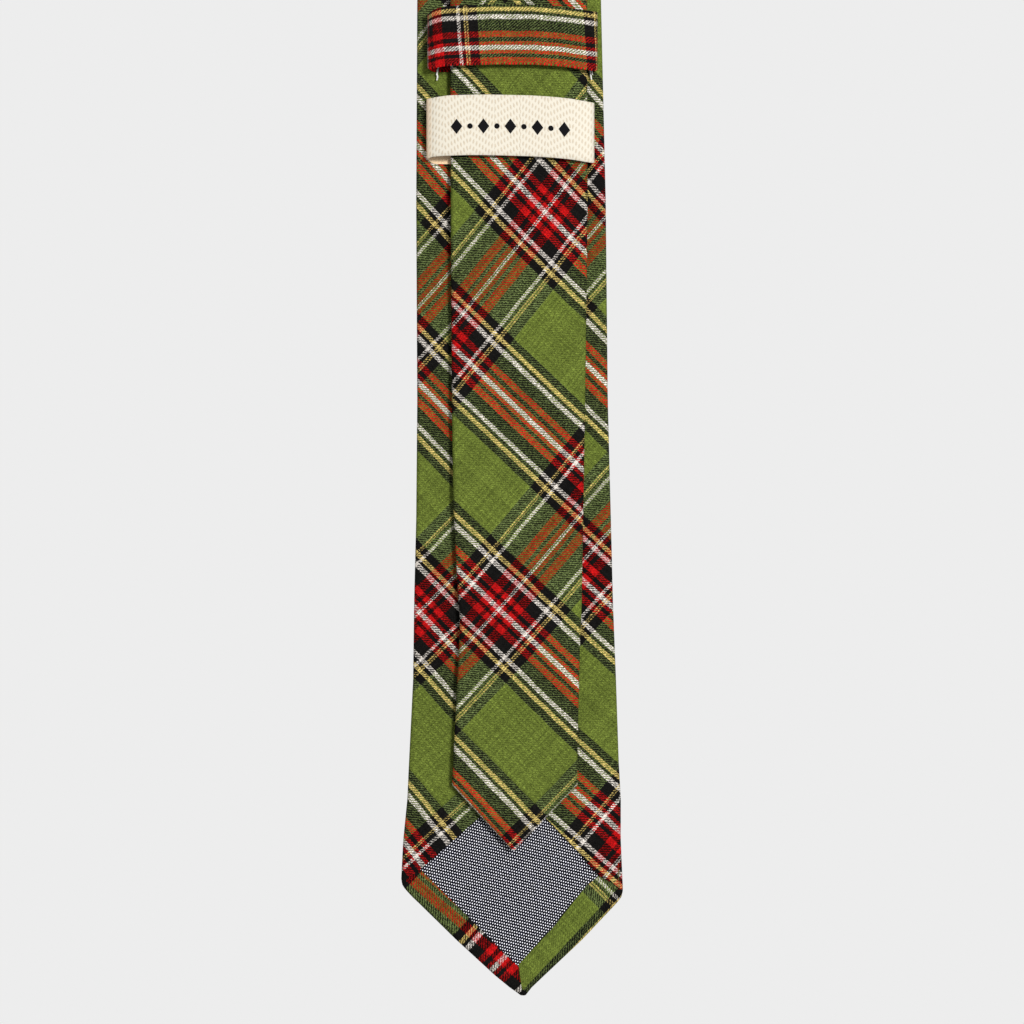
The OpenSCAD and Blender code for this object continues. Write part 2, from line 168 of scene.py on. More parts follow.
# ---------------------------------------------------------------- meshes
class Build:
    """Gathers grids and tubes into one mesh with a cloth coordinate."""

    def __init__(self):
        self.v, self.f, self.c, self.n = [], [], [], 0

    def add(self, verts, faces, cloth):
        self.v.append(np.asarray(verts, float))
        self.c.append(np.asarray(cloth, float))
        self.f += [[i + self.n for i in f] for f in faces]
        self.n += len(verts)

    def sheet(self, P, N, half, C, wrap_end=0.55):
        """Closed thin sheet about the grid P, whose normals are N."""
        R, W = P.shape[:2]
        outer, inner = P + N * half, P - N * half
        e0 = P[:, 0] - P[:, 1]
        e1 = P[:, -1] - P[:, -2]
        e0 /= np.maximum(np.linalg.norm(e0, axis=1, keepdims=True), 1e-6)
        e1 /= np.maximum(np.linalg.norm(e1, axis=1, keepdims=True), 1e-6)
        cap0 = P[:, 0] + e0 * half * wrap_end
        cap1 = P[:, -1] + e1 * half * wrap_end
        ring = np.concatenate([outer, cap1[:, None], inner[:, ::-1],
                               cap0[:, None]], axis=1)
        cl = np.concatenate([C, C[:, -1:], C[:, ::-1], C[:, :1]], axis=1)
        K = 2 * W + 2
        faces = []
        for i in range(R - 1):
            a, b = i * K, (i + 1) * K
            for j in range(K):
                k = (j + 1) % K
                faces.append([a + j, b + j, b + k, a + k])
        for base, flip in ((0, False), ((R - 1) * K, True)):
            for j in range(W - 1):
                q = [base + j, base + j + 1, base + K - 3 - j, base + K - 2 - j]
                faces.append(q[::-1] if flip else q)
            t = [base + W - 1, base + W, base + W + 1]
            faces.append(t[::-1] if flip else t)
            t = [base + K - 2, base + K - 1, base]
            faces.append(t[::-1] if flip else t)
        self.add(ring.reshape(-1, 3), faces, cl.reshape(-1, 2))
        d1 = np.linalg.norm(np.diff(P, axis=1), axis=2)
        d0 = np.linalg.norm(np.diff(P, axis=0), axis=2)
        return float((0.5 * (d1[1:] + d1[:-1])
                      * 0.5 * (d0[:, 1:] + d0[:, :-1])).sum())

    def tube(self, pts, radius, sides=8, taper=0.55):
        """Round thread along points, with closed rounded ends."""
        pts = np.asarray(pts, float)
        d = np.gradient(pts, axis=0)
        d /= np.linalg.norm(d, axis=1, keepdims=True)
        up = np.array([0.0, 1.0, 0.0]) if abs(d[0][1]) < 0.8 else np.array([1.0, 0, 0])
        rings, rad = [pts[0] - d[0] * radius * 0.5], [0.0]
        seq = [(pts[0] - d[0] * radius * 0.3, d[0], radius * taper)]
        seq += [(p, t, radius) for p, t in zip(pts, d)]
        seq += [(pts[-1] + d[-1] * radius * 0.3, d[-1], radius * taper)]
        verts, faces, cloth = [], [], []
        along = 0.0
        last = None
        for p, t, r in seq:
            if last is not None:
                along += float(np.linalg.norm(p - last))
            last = p
            s = np.cross(t, up)
            s /= np.linalg.norm(s)
            w = np.cross(s, t)
            for k in range(sides):
                a = 2 * math.pi * k / sides
                verts.append(p + r * (math.cos(a) * s + math.sin(a) * w))
                cloth.append((along, radius * a))
        n = len(seq)
        for i in range(n - 1):
            for k in range(sides):
                m = (k + 1) % sides
                faces.append([i * sides + k, i * sides + m,
                              (i + 1) * sides + m, (i + 1) * sides + k])
        faces.append(list(range(sides))[::-1])
        faces.append([(n - 1) * sides + k for k in range(sides)])
        self.add(verts, faces, cloth)

    def make(self, name, material, sharp=50.0):
        mesh = bpy.data.meshes.new(name)
        v = np.concatenate(self.v) * MM
        mesh.from_pydata(v.tolist(), [], self.f)
        mesh.validate()
        a = mesh.attributes.new("cloth", "FLOAT_VECTOR", "POINT")
        c = np.zeros((len(v), 3), np.float32)
        c[:, :2] = np.concatenate(self.c)
        a.data.foreach_set("vector", c.ravel())
        mesh.polygons.foreach_set("use_smooth", [True] * len(mesh.polygons))
        mesh.set_sharp_from_angle(angle=math.radians(sharp))
        mesh.update()
        o = bpy.data.objects.new(name, mesh)
        scene.collection.objects.link(o)
        o.data.materials.append(material)
        return o


# ---------------------------------------------------------------- materials
class Tree:
    """Short ways to wire a node material."""

    def __init__(self, name):
        self.mat = bpy.data.materials.new(name)
        self.mat.use_nodes = True
        self.t = self.mat.node_tree
        self.t.nodes.clear()
        self.out = self.t.nodes.new("ShaderNodeOutputMaterial")
        self.bsdf = self.t.nodes.new("ShaderNodeBsdfPrincipled")
        self.t.links.new(self.bsdf.outputs[0], self.out.inputs[0])

    def put(self, socket, value):
        if isinstance(value, bpy.types.NodeSocket):
            self.t.links.new(value, socket)
        elif value is not None:
            socket.default_value = value

    def math(self, op, a, b=None, c=None, clamp=False):
        n = self.t.nodes.new("ShaderNodeMath")
        n.operation = op
        n.use_clamp = clamp
        for i, v in enumerate((a, b, c)):
            if v is not None:
                self.put(n.inputs[i], v)
        return n.outputs[0]

    def cloth(self):
        n = self.t.nodes.new("ShaderNodeAttribute")
        n.attribute_name = "cloth"
        s = self.t.nodes.new("ShaderNodeSeparateXYZ")
        self.t.links.new(n.outputs["Vector"], s.inputs[0])
        return s.outputs[0], s.outputs[1], n.outputs["Vector"]

    def xyz(self, x, y, z=0.0):
        n = self.t.nodes.new("ShaderNodeCombineXYZ")
        for i, v in enumerate((x, y, z)):
            self.put(n.inputs[i], v)
        return n.outputs[0]

    def noise(self, vector, scale, detail=2.0, rough=0.5):
        n = self.t.nodes.new("ShaderNodeTexNoise")
        self.put(n.inputs["Vector"], vector)
        n.inputs["Scale"].default_value = scale
        n.inputs["Detail"].default_value = detail
        n.inputs["Roughness"].default_value = rough
        return n.outputs[0]

    def white(self, vector):
        n = self.t.nodes.new("ShaderNodeTexWhiteNoise")
        n.noise_dimensions = "2D"
        self.put(n.inputs["Vector"], vector)
        return n.outputs[0]

    def ramp(self, fac, stops, interp="CONSTANT"):
        n = self.t.nodes.new("ShaderNodeValToRGB")
        r = n.color_ramp
        r.interpolation = interp
        while len(r.elements) > 1:
            r.elements.remove(r.elements[-1])
        r.elements[0].position = stops[0][0]
        r.elements[0].color = (*stops[0][1], 1)
        for p, c in stops[1:]:
            e = r.elements.new(p)
            e.color = (*c, 1)
        self.put(n.inputs[0], fac)
        return n.outputs[0]

    def mix(self, fac, a, b, kind="MIX"):
        n = self.t.nodes.new("ShaderNodeMix")
        n.data_type = "RGBA"
        n.blend_type = kind
        n.clamp_factor = True
        self.put(n.inputs[0], fac)
        for s, v in ((n.inputs[6], a), (n.inputs[7], b)):
            if isinstance(v, tuple) and len(v) == 3:
                v = (*v, 1)
            self.put(s, v)
        return n.outputs[2]

    def range(self, v, a, b, c, d):
        n = self.t.nodes.new("ShaderNodeMapRange")
        self.put(n.inputs[0], v)
        for i, x in enumerate((a, b, c, d)):
            n.inputs[i + 1].default_value = x
        return n.outputs[0]

    def scaled(self, colour, value):
        n = self.t.nodes.new("ShaderNodeVectorMath")
        n.operation = "SCALE"
        self.put(n.inputs[0], colour)
        self.put(n.inputs["Scale"], value)
        return n.outputs[0]

    def finish(self, colour, rough, height, distance, strength=1.0,
               sheen=0.15, spec=0.25, sheen_tint=(1, 1, 1)):
        b = self.bsdf
        self.put(b.inputs["Base Color"],
                 (*colour, 1) if isinstance(colour, tuple) else colour)
        self.put(b.inputs["Roughness"], rough)
        b.inputs["Specular IOR Level"].default_value = spec
        b.inputs["Sheen Weight"].default_value = sheen
        b.inputs["Sheen Roughness"].default_value = 0.5
        b.inputs["Sheen Tint"].default_value = (*sheen_tint, 1)
        if height is not None:
            n = self.t.nodes.new("ShaderNodeBump")
            n.inputs["Strength"].default_value = strength
            n.inputs["Distance"].default_value = distance
            self.put(n.inputs["Height"], height)
            self.t.links.new(n.outputs[0], b.inputs["Normal"])
        return self.mat


# The lights together give a white surface that faces them about 1 / LIGHT.
LIGHT = 0.475
COLOUR_A = {"g": (0.147, 0.193, 0.032), "k": (0.007, 0.0065, 0.006),
            "y": (0.66, 0.50, 0.16), "w": (0.74, 0.68, 0.61),
            "r": (0.50, 0.010, 0.010)}
COLOUR_B = {"g": (0.127, 0.166, 0.027), "k": (0.007, 0.0065, 0.006),
            "y": (0.63, 0.47, 0.15), "w": (0.74, 0.68, 0.61),
            "r": (0.43, 0.010, 0.010)}
SETT_A = [(61.4, "g"), (7.4, "k"), (4.3, "y"), (3.4, "k"), (4.8, "w"),
          (11.7, "k"), (6.6, "r"), (4.1, "k"), (3.9, "r"), (4.4, "w"),
          (3.8, "r"), (3.8, "k"), (6.7, "r"), (11.8, "k"), (4.8, "w"),
          (3.5, "k"), (4.5, "y"), (7.5, "k")]
SETT_B = [(106, "g"), (9.8, "k"), (1.5, "y"), (0.8, "k"), (1.5, "y"), (3.8, "k"),
          (1.4, "w"), (0.7, "k"), (1.4, "w"), (14.8, "k"), (9.3, "r"), (4.3, "k"),
          (4.5, "r"), (1.4, "w"), (0.7, "k"), (1.4, "w"), (4.0, "r"), (5.0, "k"),
          (9.3, "r"), (14.8, "k"), (1.4, "w"), (0.7, "k"), (1.4, "w"), (3.8, "k"),
          (1.5, "y"), (0.8, "k"), (1.5, "y"), (9.8, "k")]


def stops(sett, period, colours):
    out, p = [], 0.0
    for width, c in sett:
        out.append((p / period, colours[c]))
        p += width
    return out


def tartan():
    t = Tree("tartan_cloth")
    u0, v0, vec = t.cloth()
    # Slow waver of the yarns, about a third of a unit.
    w1 = t.range(t.noise(vec, 0.035, 2), 0, 1, -0.9, 0.9)
    w2 = t.range(t.noise(t.xyz(v0, u0, 7.0), 0.035, 2), 0, 1, -0.9, 0.9)
    u, v = t.math("ADD", u0, w1), t.math("ADD", v0, w2)
    pu, pv = 0.70, 0.86
    su, sv = t.math("DIVIDE", u, pu), t.math("DIVIDE", v, pv)
    fu, fv = t.math("FRACT", su), t.math("FRACT", sv)
    pa = t.math("FRACT", t.math("DIVIDE", t.math("ADD", u, 109.8 + 50 * P_A), P_A))
    pb = t.math("FRACT", t.math("DIVIDE", t.math("ADD", v, 161.55 + 50 * P_B), P_B))
    ca = t.ramp(pa, stops(SETT_A, P_A, COLOUR_A))
    cb = t.ramp(pb, stops(SETT_B, P_B, COLOUR_B))
    # The twill: four yarns to a repeat, and its line is never quite straight.
    loose = t.range(t.noise(t.xyz(u0, v0, 11.0), 0.55, 2, 0.7), 0.3, 0.7, -1.5, 1.5)
    c = t.math("FRACT", t.math("DIVIDE", t.math(
        "ADD", t.math("ADD", su, sv), loose), 4.0))
    share = 0.57
    top = t.math("LESS_THAN", c, share)
    under = t.math("SUBTRACT", 1.0, top)
    colour = t.mix(t.range(top, 0, 1, 0.06, 0.98), cb, ca)
    # Each float is highest in its middle; its colour is painted brighter there and darker towards its
    # ends, as painted highlight and painted shade.
    la = t.math("MULTIPLY", t.math("DIVIDE", c, share), top)
    lb = t.math("MULTIPLY", t.math("DIVIDE", t.math("SUBTRACT", c, share), 1 - share), under)
    lift = t.math("SINE", t.math("MULTIPLY", t.math("ADD", la, lb), math.pi))
    lift = t.math("MULTIPLY", lift, lift)
    # A black yarn beside a coloured one puts it in shade.

    def is_black(col):
        n = t.t.nodes.new("ShaderNodeRGBToBW")
        t.put(n.inputs[0], col)
        return t.math("LESS_THAN", n.outputs[0], 0.02)
    one = t.math("ABSOLUTE", t.math("SUBTRACT", is_black(ca), is_black(cb)))
    ha = t.math("SINE", t.math("MULTIPLY", fu, math.pi))
    hb = t.math("SINE", t.math("MULTIPLY", fv, math.pi))
    height = t.math("ADD", lift, t.math("MULTIPLY", 0.5, t.math(
        "ADD", t.math("MULTIPLY", ha, top), t.math("MULTIPLY", hb, under))))
    ra = t.white(t.xyz(t.math("FLOOR", t.math("DIVIDE", su, 2.0)), 3.0))
    rb = t.white(t.xyz(9.0, t.math("FLOOR", t.math("DIVIDE", sv, 2.0))))
    fleck = t.noise(t.xyz(u0, v0, 2.0), 0.62, 3, 0.8)
    slow = t.noise(t.xyz(u0, v0, 5.0), 0.012, 3, 0.5)
    gain = t.math("MULTIPLY", t.math("MULTIPLY", t.range(ra, 0, 1, 0.84, 1.16),
                                     t.range(rb, 0, 1, 0.84, 1.16)),
                  t.math("MULTIPLY", t.range(fleck, 0.25, 0.75, 0.45, 1.55),
                         t.range(slow, 0.2, 0.8, 0.95, 1.05)))
    # painted highlight and painted shade: the colour follows the float's height, darker in the dips
    # between yarns
    gain = t.math("MULTIPLY", gain, t.range(lift, 0, 1, 0.45, 1.55))
    gain = t.math("MULTIPLY", gain, t.range(one, 0, 1, LIGHT, LIGHT * 0.80))
    # and the shaded colour is greyer, but for red
    sep = t.t.nodes.new("ShaderNodeSeparateColor")
    t.put(sep.inputs[0], colour)
    com = t.t.nodes.new("ShaderNodeCombineColor")
    t.put(com.inputs[0], sep.outputs[0])
    t.put(com.inputs[1], sep.outputs[1])
    t.put(com.inputs[2], t.math("MAXIMUM", sep.outputs[2], t.math(
        "MULTIPLY", t.math("MULTIPLY", sep.outputs[1], 0.32), one)))
    # red across another colour takes up most of its green and blue
    sep = t.t.nodes.new("ShaderNodeSeparateColor")
    t.put(sep.inputs[0], cb)
    red = t.math("GREATER_THAN", t.math("SUBTRACT", sep.outputs[0], sep.outputs[1]), 0.3)
    colour = t.mix(red, com.outputs[0], t.mix(1.0, com.outputs[0], (0.88, 0.56, 0.60),
                                              kind="MULTIPLY"))
    # red is deepest beside black and brightest where it crosses itself
    sep = t.t.nodes.new("ShaderNodeSeparateColor")
    t.put(sep.inputs[0], ca)
    red_a = t.math("GREATER_THAN", t.math("SUBTRACT", sep.outputs[0], sep.outputs[1]), 0.3)
    beside = t.math("MULTIPLY", t.math("MAXIMUM", red_a, red), one)
    gain = t.math("MULTIPLY", gain, t.range(beside, 0, 1, 1.0, 0.75))
    gain = t.math("MULTIPLY", gain, t.range(t.math("MULTIPLY", red_a, red), 0, 1, 1.0, 1.2))
    colour = t.scaled(colour, gain)
    rough = t.range(fleck, 0.2, 0.8, 0.82, 0.94)
    return t.finish(colour, rough, height, 0.00010, 0.6, sheen=0.0, spec=0.03)


def lining():
    """Near-black navy with a close, even lattice of white dots."""
    t = Tree("dotted_lining")
    x, y, vec = t.cloth()
    w = t.range(t.noise(vec, 0.12, 2), 0, 1, -0.12, 0.12)
    xx, yy = t.math("ADD", x, w), t.math("SUBTRACT", y, w)

    def wave(fx, fy):
        # cycles across and down, in units of the picture plane
        return t.math("COSINE", t.math("ADD",
                                       t.math("MULTIPLY", xx, 2 * math.pi * fx / UNIT),
                                       t.math("MULTIPLY", yy, -2 * math.pi * fy / UNIT)))
    total = t.math("ADD", t.math("ADD", wave(0.3457, 0.2969), wave(-0.0918, 0.3477)),
                   wave(-0.4375, 0.0508))
    rnd = t.noise(vec, 1.4, 2, 0.6)
    dot = t.range(t.math("ADD", total, t.range(rnd, 0.3, 0.7, -0.35, 0.35)),
                  1.46, 2.10, 0.0, 1.0)
    base = t.mix(t.range(t.noise(vec, 0.6, 3), 0.3, 0.7, 0, 1),
                 (0.002, 0.002, 0.003), (0.004, 0.004, 0.010))
    white = t.scaled((0.84, 0.84, 0.89), t.range(t.noise(vec, 3.0, 2), 0.3, 0.7, 0.8, 1.0))
    colour = t.mix(dot, base, white)
    return t.finish(colour, 0.7, dot, 0.00006, 0.6, sheen=0.0, spec=0.03)


def herringbone():
    """Cotton tape: broad columns of short slanting strokes that turn over
    from one column to the next."""
    t = Tree("herringbone_tape")
    x, y, vec = t.cloth()
    w = 7.4
    cx = t.math("DIVIDE", t.math("ADD", x, 24.9), w)
    col = t.math("FLOOR", cx)
    fx = t.math("SUBTRACT", cx, col)
    odd = t.math("FLOORED_MODULO", col, 2.0)
    sign = t.math("SUBTRACT", t.math("MULTIPLY", odd, 2.0), 1.0)
    ys = t.math("MULTIPLY", y, sign)

    def wave(px, py):
        return t.math("COSINE", t.math("ADD",
                                       t.math("MULTIPLY", x, 2 * math.pi * px / UNIT),
                                       t.math("MULTIPLY", ys, 2 * math.pi * py / UNIT)))
    total = t.math("ADD", t.math("ADD", wave(0.3257, 0.0), wave(0.241, 0.1336)),
                   t.math("MULTIPLY", wave(0.0847, -0.1336), 0.6))
    fleck = t.noise(vec, 2.6, 3, 0.7)
    stroke = t.range(t.math("ADD", total, t.range(fleck, 0.3, 0.7, -0.7, 0.7)),
                     0.1, 1.7, 0.0, 1.0)
    colour = t.mix(stroke, (0.394, 0.366, 0.306), (0.338, 0.291, 0.224))
    # the turned end that shows under the loop is painted browner and darker, as painted shade for the
    # shadow it lies in under the loop
    colour = t.mix(t.range(x, -31.5, -28.0, 1.0, 0.0), colour, (0.62, 0.45, 0.28))
    colour = t.scaled(colour, t.range(t.noise(vec, 6.0, 3, 0.7), 0.2, 0.8, 0.95, 1.04))
    height = t.math("SUBTRACT", 1.0, stroke)
    return t.finish(colour, 0.88, height, 0.00010, 0.8, sheen=0.0, spec=0.08)


def wool():
    t = Tree("wool_interlining")
    x, y, vec = t.cloth()
    a = t.math("SINE", t.math("MULTIPLY", x, 2 * math.pi / 0.9))
    b = t.math("SINE", t.math("MULTIPLY", y, 2 * math.pi / 0.9))
    weave = t.math("MULTIPLY", a, b)
    fuzz = t.noise(vec, 3.5, 5, 0.75)
    h = t.math("ADD", t.math("MULTIPLY", weave, 0.4), fuzz)
    colour = t.mix(fuzz, (0.38, 0.35, 0.29), (0.60, 0.58, 0.52))
    return t.finish(colour, 0.95, h, 0.0003, 0.8, sheen=0.1, spec=0.1)


def thread(name, base, dark):
    """Twisted sewing thread: slanting plies along its length."""
    t = Tree(name)
    x, y, vec = t.cloth()
    ply = t.math("SINE", t.math("MULTIPLY", t.math("ADD", x, t.math(
        "MULTIPLY", y, 1.6)), 2 * math.pi / 0.42))
    fuzz = t.noise(vec, 6.0, 3, 0.7)
    colour = t.mix(t.range(ply, -1, 1, 0, 1), dark, base)
    colour = t.scaled(colour, t.range(fuzz, 0.2, 0.8, 0.9, 1.06))
    return t.finish(colour, 0.7, ply, 0.00005, 0.6, sheen=0.2, spec=0.3)


def ornament():
    t = Tree("black_ornament")
    x, y, vec = t.cloth()
    ply = t.math("SINE", t.math("MULTIPLY", x, 2 * math.pi / 0.32))
    fuzz = t.noise(vec, 5.0, 3, 0.7)
    colour = t.mix(t.math("MULTIPLY", t.range(ply, -1, 1, 0.2, 1), fuzz),
                   (0.002, 0.002, 0.0025), (0.008, 0.0075, 0.009))
    return t.finish(colour, 0.8, ply, 0.00006, 0.6, sheen=0.0, spec=0.03)


TARTAN, LINE, TAPE, WOOL = tartan(), lining(), herringbone(), wool()
WHITE_T = thread("white_thread", (0.66, 0.65, 0.62), (0.46, 0.45, 0.42))
DARK_T = thread("dark_thread", (0.028, 0.038, 0.022), (0.008, 0.010, 0.006))
CREAM_T = thread("cream_thread", (0.49, 0.45, 0.37), (0.32, 0.28, 0.21))
BLACK_O = ornament()


# ---------------------------------------------------------------- folded cloth
NF, NA, NW = 16, 10, 30      # points across a flap, round a fold, over the face
I_FOLD_L = NF                # first point of the left fold
I_FACE = NF + NA             # first point of the face
I_FOLD_R = NF + NA + NW      # first point of the right fold
I_FLAP_R = NF + 2 * NA + NW  # first point of the right flap


def section(l, r, a, b, lap=True, rx=None, lift_l=0.0, lift_r=0.0, puff=0.0):
    """One folded width: left flap, fold, face, fold, right flap, as points
    across and depth from the face. a and b are the ends of the flaps."""
    rd = (SIDE - CLOTH) / 2
    rx = rd if rx is None else rx
    rx = min(rx, 0.28 * (r - l))
    c = min(CLOTH / 2, 0.12 * (r - l))
    cl, cr = l + c + rx, r - c - rx
    a = max(a, cl + 0.05)
    b = min(b, cr - 0.05)
    back = SIDE - CLOTH / 2
    t = np.linspace(0, 1, NF)
    fx = a + (cl - a) * t
    fd = back + lift_l * ease((fx - cl) / 7.0) + puff * np.sin(
        np.pi * np.clip((fx - cl) / max(a - cl, 0.1), 0, 1)) ** 2
    phi = np.linspace(0, math.pi, NA + 2)[1:-1]
    ax = cl - rx * np.sin(phi)
    ad = SIDE / 2 + rd * np.cos(phi)
    wx = np.linspace(cl, cr, NW)
    wd = np.full(NW, CLOTH / 2)
    gx = cr + rx * np.sin(phi[::-1])
    gd = SIDE / 2 + rd * np.cos(phi[::-1])
    hx = cr + (b - cr) * t
    lap_d = (CLOTH + LAY + 0.02) * (1 - ease((hx - (a + 0.5)) / 3.0)) if lap else 0
    hd = back + lap_d + lift_r * ease((cr - hx) / 7.0) + puff * np.sin(
        np.pi * np.clip((cr - hx) / max(cr - b, 0.1), 0, 1)) ** 2
    return (np.concatenate([fx, ax, wx, gx, hx]),
            np.concatenate([fd, ad, wd, gd, hd]))


def normals2(x, d):
    """Outward normal of the folded line, in the plane of the section."""
    tx, td = np.gradient(x), np.gradient(d)
    n = np.hypot(tx, td)
    n[n < 1e-9] = 1
    # The line runs flap, fold, face, fold, flap, so outside is on its left.
    return td / n, -tx / n


def unrolled(x, d):
    """Distance along the cloth from the middle of the face."""
    s = np.concatenate([[0], np.cumsum(np.hypot(np.diff(x), np.diff(d)))])
    m = I_FACE + NW // 2
    zero = s[m] - x[m]
    return s - zero


def flat_x(x, s):
    """x on the flaps and the face; beyond them, the distance along the cloth."""
    left = x.copy()
    i = NF - 1
    left[i:] = x[i] - (s[i:] - s[i])
    right = x.copy()
    j = I_FLAP_R
    right[:j + 1] = x[j] + (s[j] - s[:j + 1])
    face = x.copy()
    face[:I_FACE] = x[I_FACE] - (s[I_FACE] - s[:I_FACE])
    k = I_FOLD_R - 1
    face[k:] = x[k] + (s[k:] - s[k])
    return left, right, face


APEX_L = NF + NA // 2
APEX_R = I_FOLD_R + NA // 2
FLAP_L_END = [[0, OVER], [-698, OVER], [-702, 0.3], [-710.2, -9.7],
              [-725.1, -26.5], [-729.5, -32.5]]
FLAP_R_END = [[0, -OVER], [-698, -OVER], [-702, 0.6], [-710.8, 10.4],
              [-716.2, 15.6], [-720.7, 20.0], [-725.2, 23.5], [-727.4, 25.8],
              [-731.3, 32.5]]
HEM_L_END = [[-722, -29.6], [-725.1, -27.3], [-753.2, 1.0], [-754.2, 1.95],
             [-756, 2.05], [-762.6, 3.15]]
HEM_R_END = [[-722, 29.6], [-727.4, 25.5], [-730.2, 21.9], [-742.3, 12.2],
             [-753.2, 2.05], [-756, 2.25], [-762.6, 3.25]]


def tilt(v):
    """The rows lean a little, so that both low corners lie on one row."""
    return 0.0277 * ease((-690 - v) / 25) * (1 - ease((-738 - v) / 18))


def seam_lean(dist):
    """1 on a diagonal seam and 0 far from it."""
    return 1 - ease(dist / 120.0)


def place_blade(x, d, z):
    return np.stack([x, blade_mid(z) + FULL / 2 - d, z], axis=-1)


def place_tail(x, d, z):
    return np.stack([x, -MID - FULL / 2 + d, z], axis=-1)


def groove(dist):
    """Cloth dips where two lengths are joined."""
    return 0.22 * np.exp(-(dist / 0.5) ** 2)


def ripple(x, z, seed):
    """Very slight unevenness of pressed cloth."""
    return 0.05 * (np.sin(x * 0.21 + z * 0.043 + seed)
                   + np.sin(z * 0.071 - x * 0.13 + 2 * seed)
                   + 0.6 * np.sin(z * 0.19 + x * 0.31 + 3 * seed))


def face_blend(s, ul, ur):
    """From the left fold's value to the right fold's, along the cloth."""
    t = np.clip((s - s[APEX_L]) / (s[APEX_R] - s[APEX_L]), 0, 1)
    return ul + (ur - ul) * t


def blade_cloth(x, s, z, low):
    """(U, V) of each point of one row of the blade."""
    y = down(z)
    xl, xr, xf = flat_x(x, s)
    if low:
        ul, vl = hem_left_at(across(xl), y)
        ur, vr = hem_right_at(across(xr), y)
        ur, vr = ur + P_A, vr + 0
    else:
        ul, vl = cloth_at(LEFT_MAP, across(xl), y)
        ur, vr = cloth_at(RIGHT_MAP, across(xr), y)
    return ul, vl, ur, vr


def blade_rows():
    rows = np.concatenate([
        [-142.0, -142.3, -142.7, -143.3],
        np.arange(-145, -690, -2.5), np.arange(-690, -730, -0.8), [-730.4]])
    P, N, C = [], [], []
    for v in rows:
        k = tilt(v)
        l, r = table(BLADE_X, 1, v), table(BLADE_X, 2, v)
        for _ in range(3):
            zl, zr = v - k * l, v - k * r
            l, r = table(BLADE_X, 1, zl), table(BLADE_X, 2, zr)
        a = b = 0.0
        for _ in range(6):
            a = table(FLAP_L_END, 1, v - k * a)
            b = table(FLAP_R_END, 1, v - k * b)
        low = ease((-694 - v) / 10)
        x, d = section(l, r, a, b, lap=True, lift_l=0.42 * low,
                       lift_r=0.42 * low, puff=0.10)
        s = unrolled(x, d)
        z = v - k * x + s * seam_lean(SEAM_F - v)
        d = d + groove(SEAM_F - v) * np.where(d < SIDE / 2, 1, -1)
        bump = ripple(x, z, 1.0)
        d = d - np.where(d < SIDE / 2, 0.5, 0.8) * bump
        nx, nd = normals2(x, d)
        P.append(place_blade(x, d, z))
        N.append(np.stack([nx, -nd, np.zeros_like(nx)], axis=-1))
        ul, vl, ur, vr = blade_cloth(x, s, z, False)
        g = np.arange(len(x))
        U = face_blend(s, ul[APEX_L], ur[APEX_R] + P_A)
        V = face_blend(s, vl[APEX_L], vr[APEX_R] - P_B)
        U = np.where(g <= APEX_L, ul, np.where(g >= APEX_R, ur + P_A, U))
        V = np.where(g <= APEX_L, vl, np.where(g >= APEX_R, vr - P_B, V))
        C.append(np.stack([U, V], axis=-1))
        last = (ul[APEX_L], vl[APEX_L], ur[APEX_R], vr[APEX_R])
    P, N, C = np.array(P), np.array(N), np.array(C)
    # Over the face the cloth runs on straight, down to the point.
    f = slice(APEX_L + 1, APEX_R)
    x, z = P[:, f, 0], P[:, f, 2]
    use = (z < -430) & (z > -600)
    A = np.stack([x[use], z[use], np.ones(use.sum())], axis=-1)
    straight = [np.linalg.lstsq(A, C[:, f, i][use], rcond=None)[0] for i in (0, 1)]
    w = ease((-520 - z) / 70)
    for i in (0, 1):
        a = straight[i]
        C[:, f, i] += w * (a[0] * x + a[1] * z + a[2] - C[:, f, i])
    return P, N, C, last + (straight,)


def unit(N):
    return N / np.maximum(np.linalg.norm(N, axis=-1, keepdims=True), 1e-9)


def nearest(value, target, period):
    """value moved by whole periods to lie nearest to target."""
    return value + np.round((target - value) / period) * period


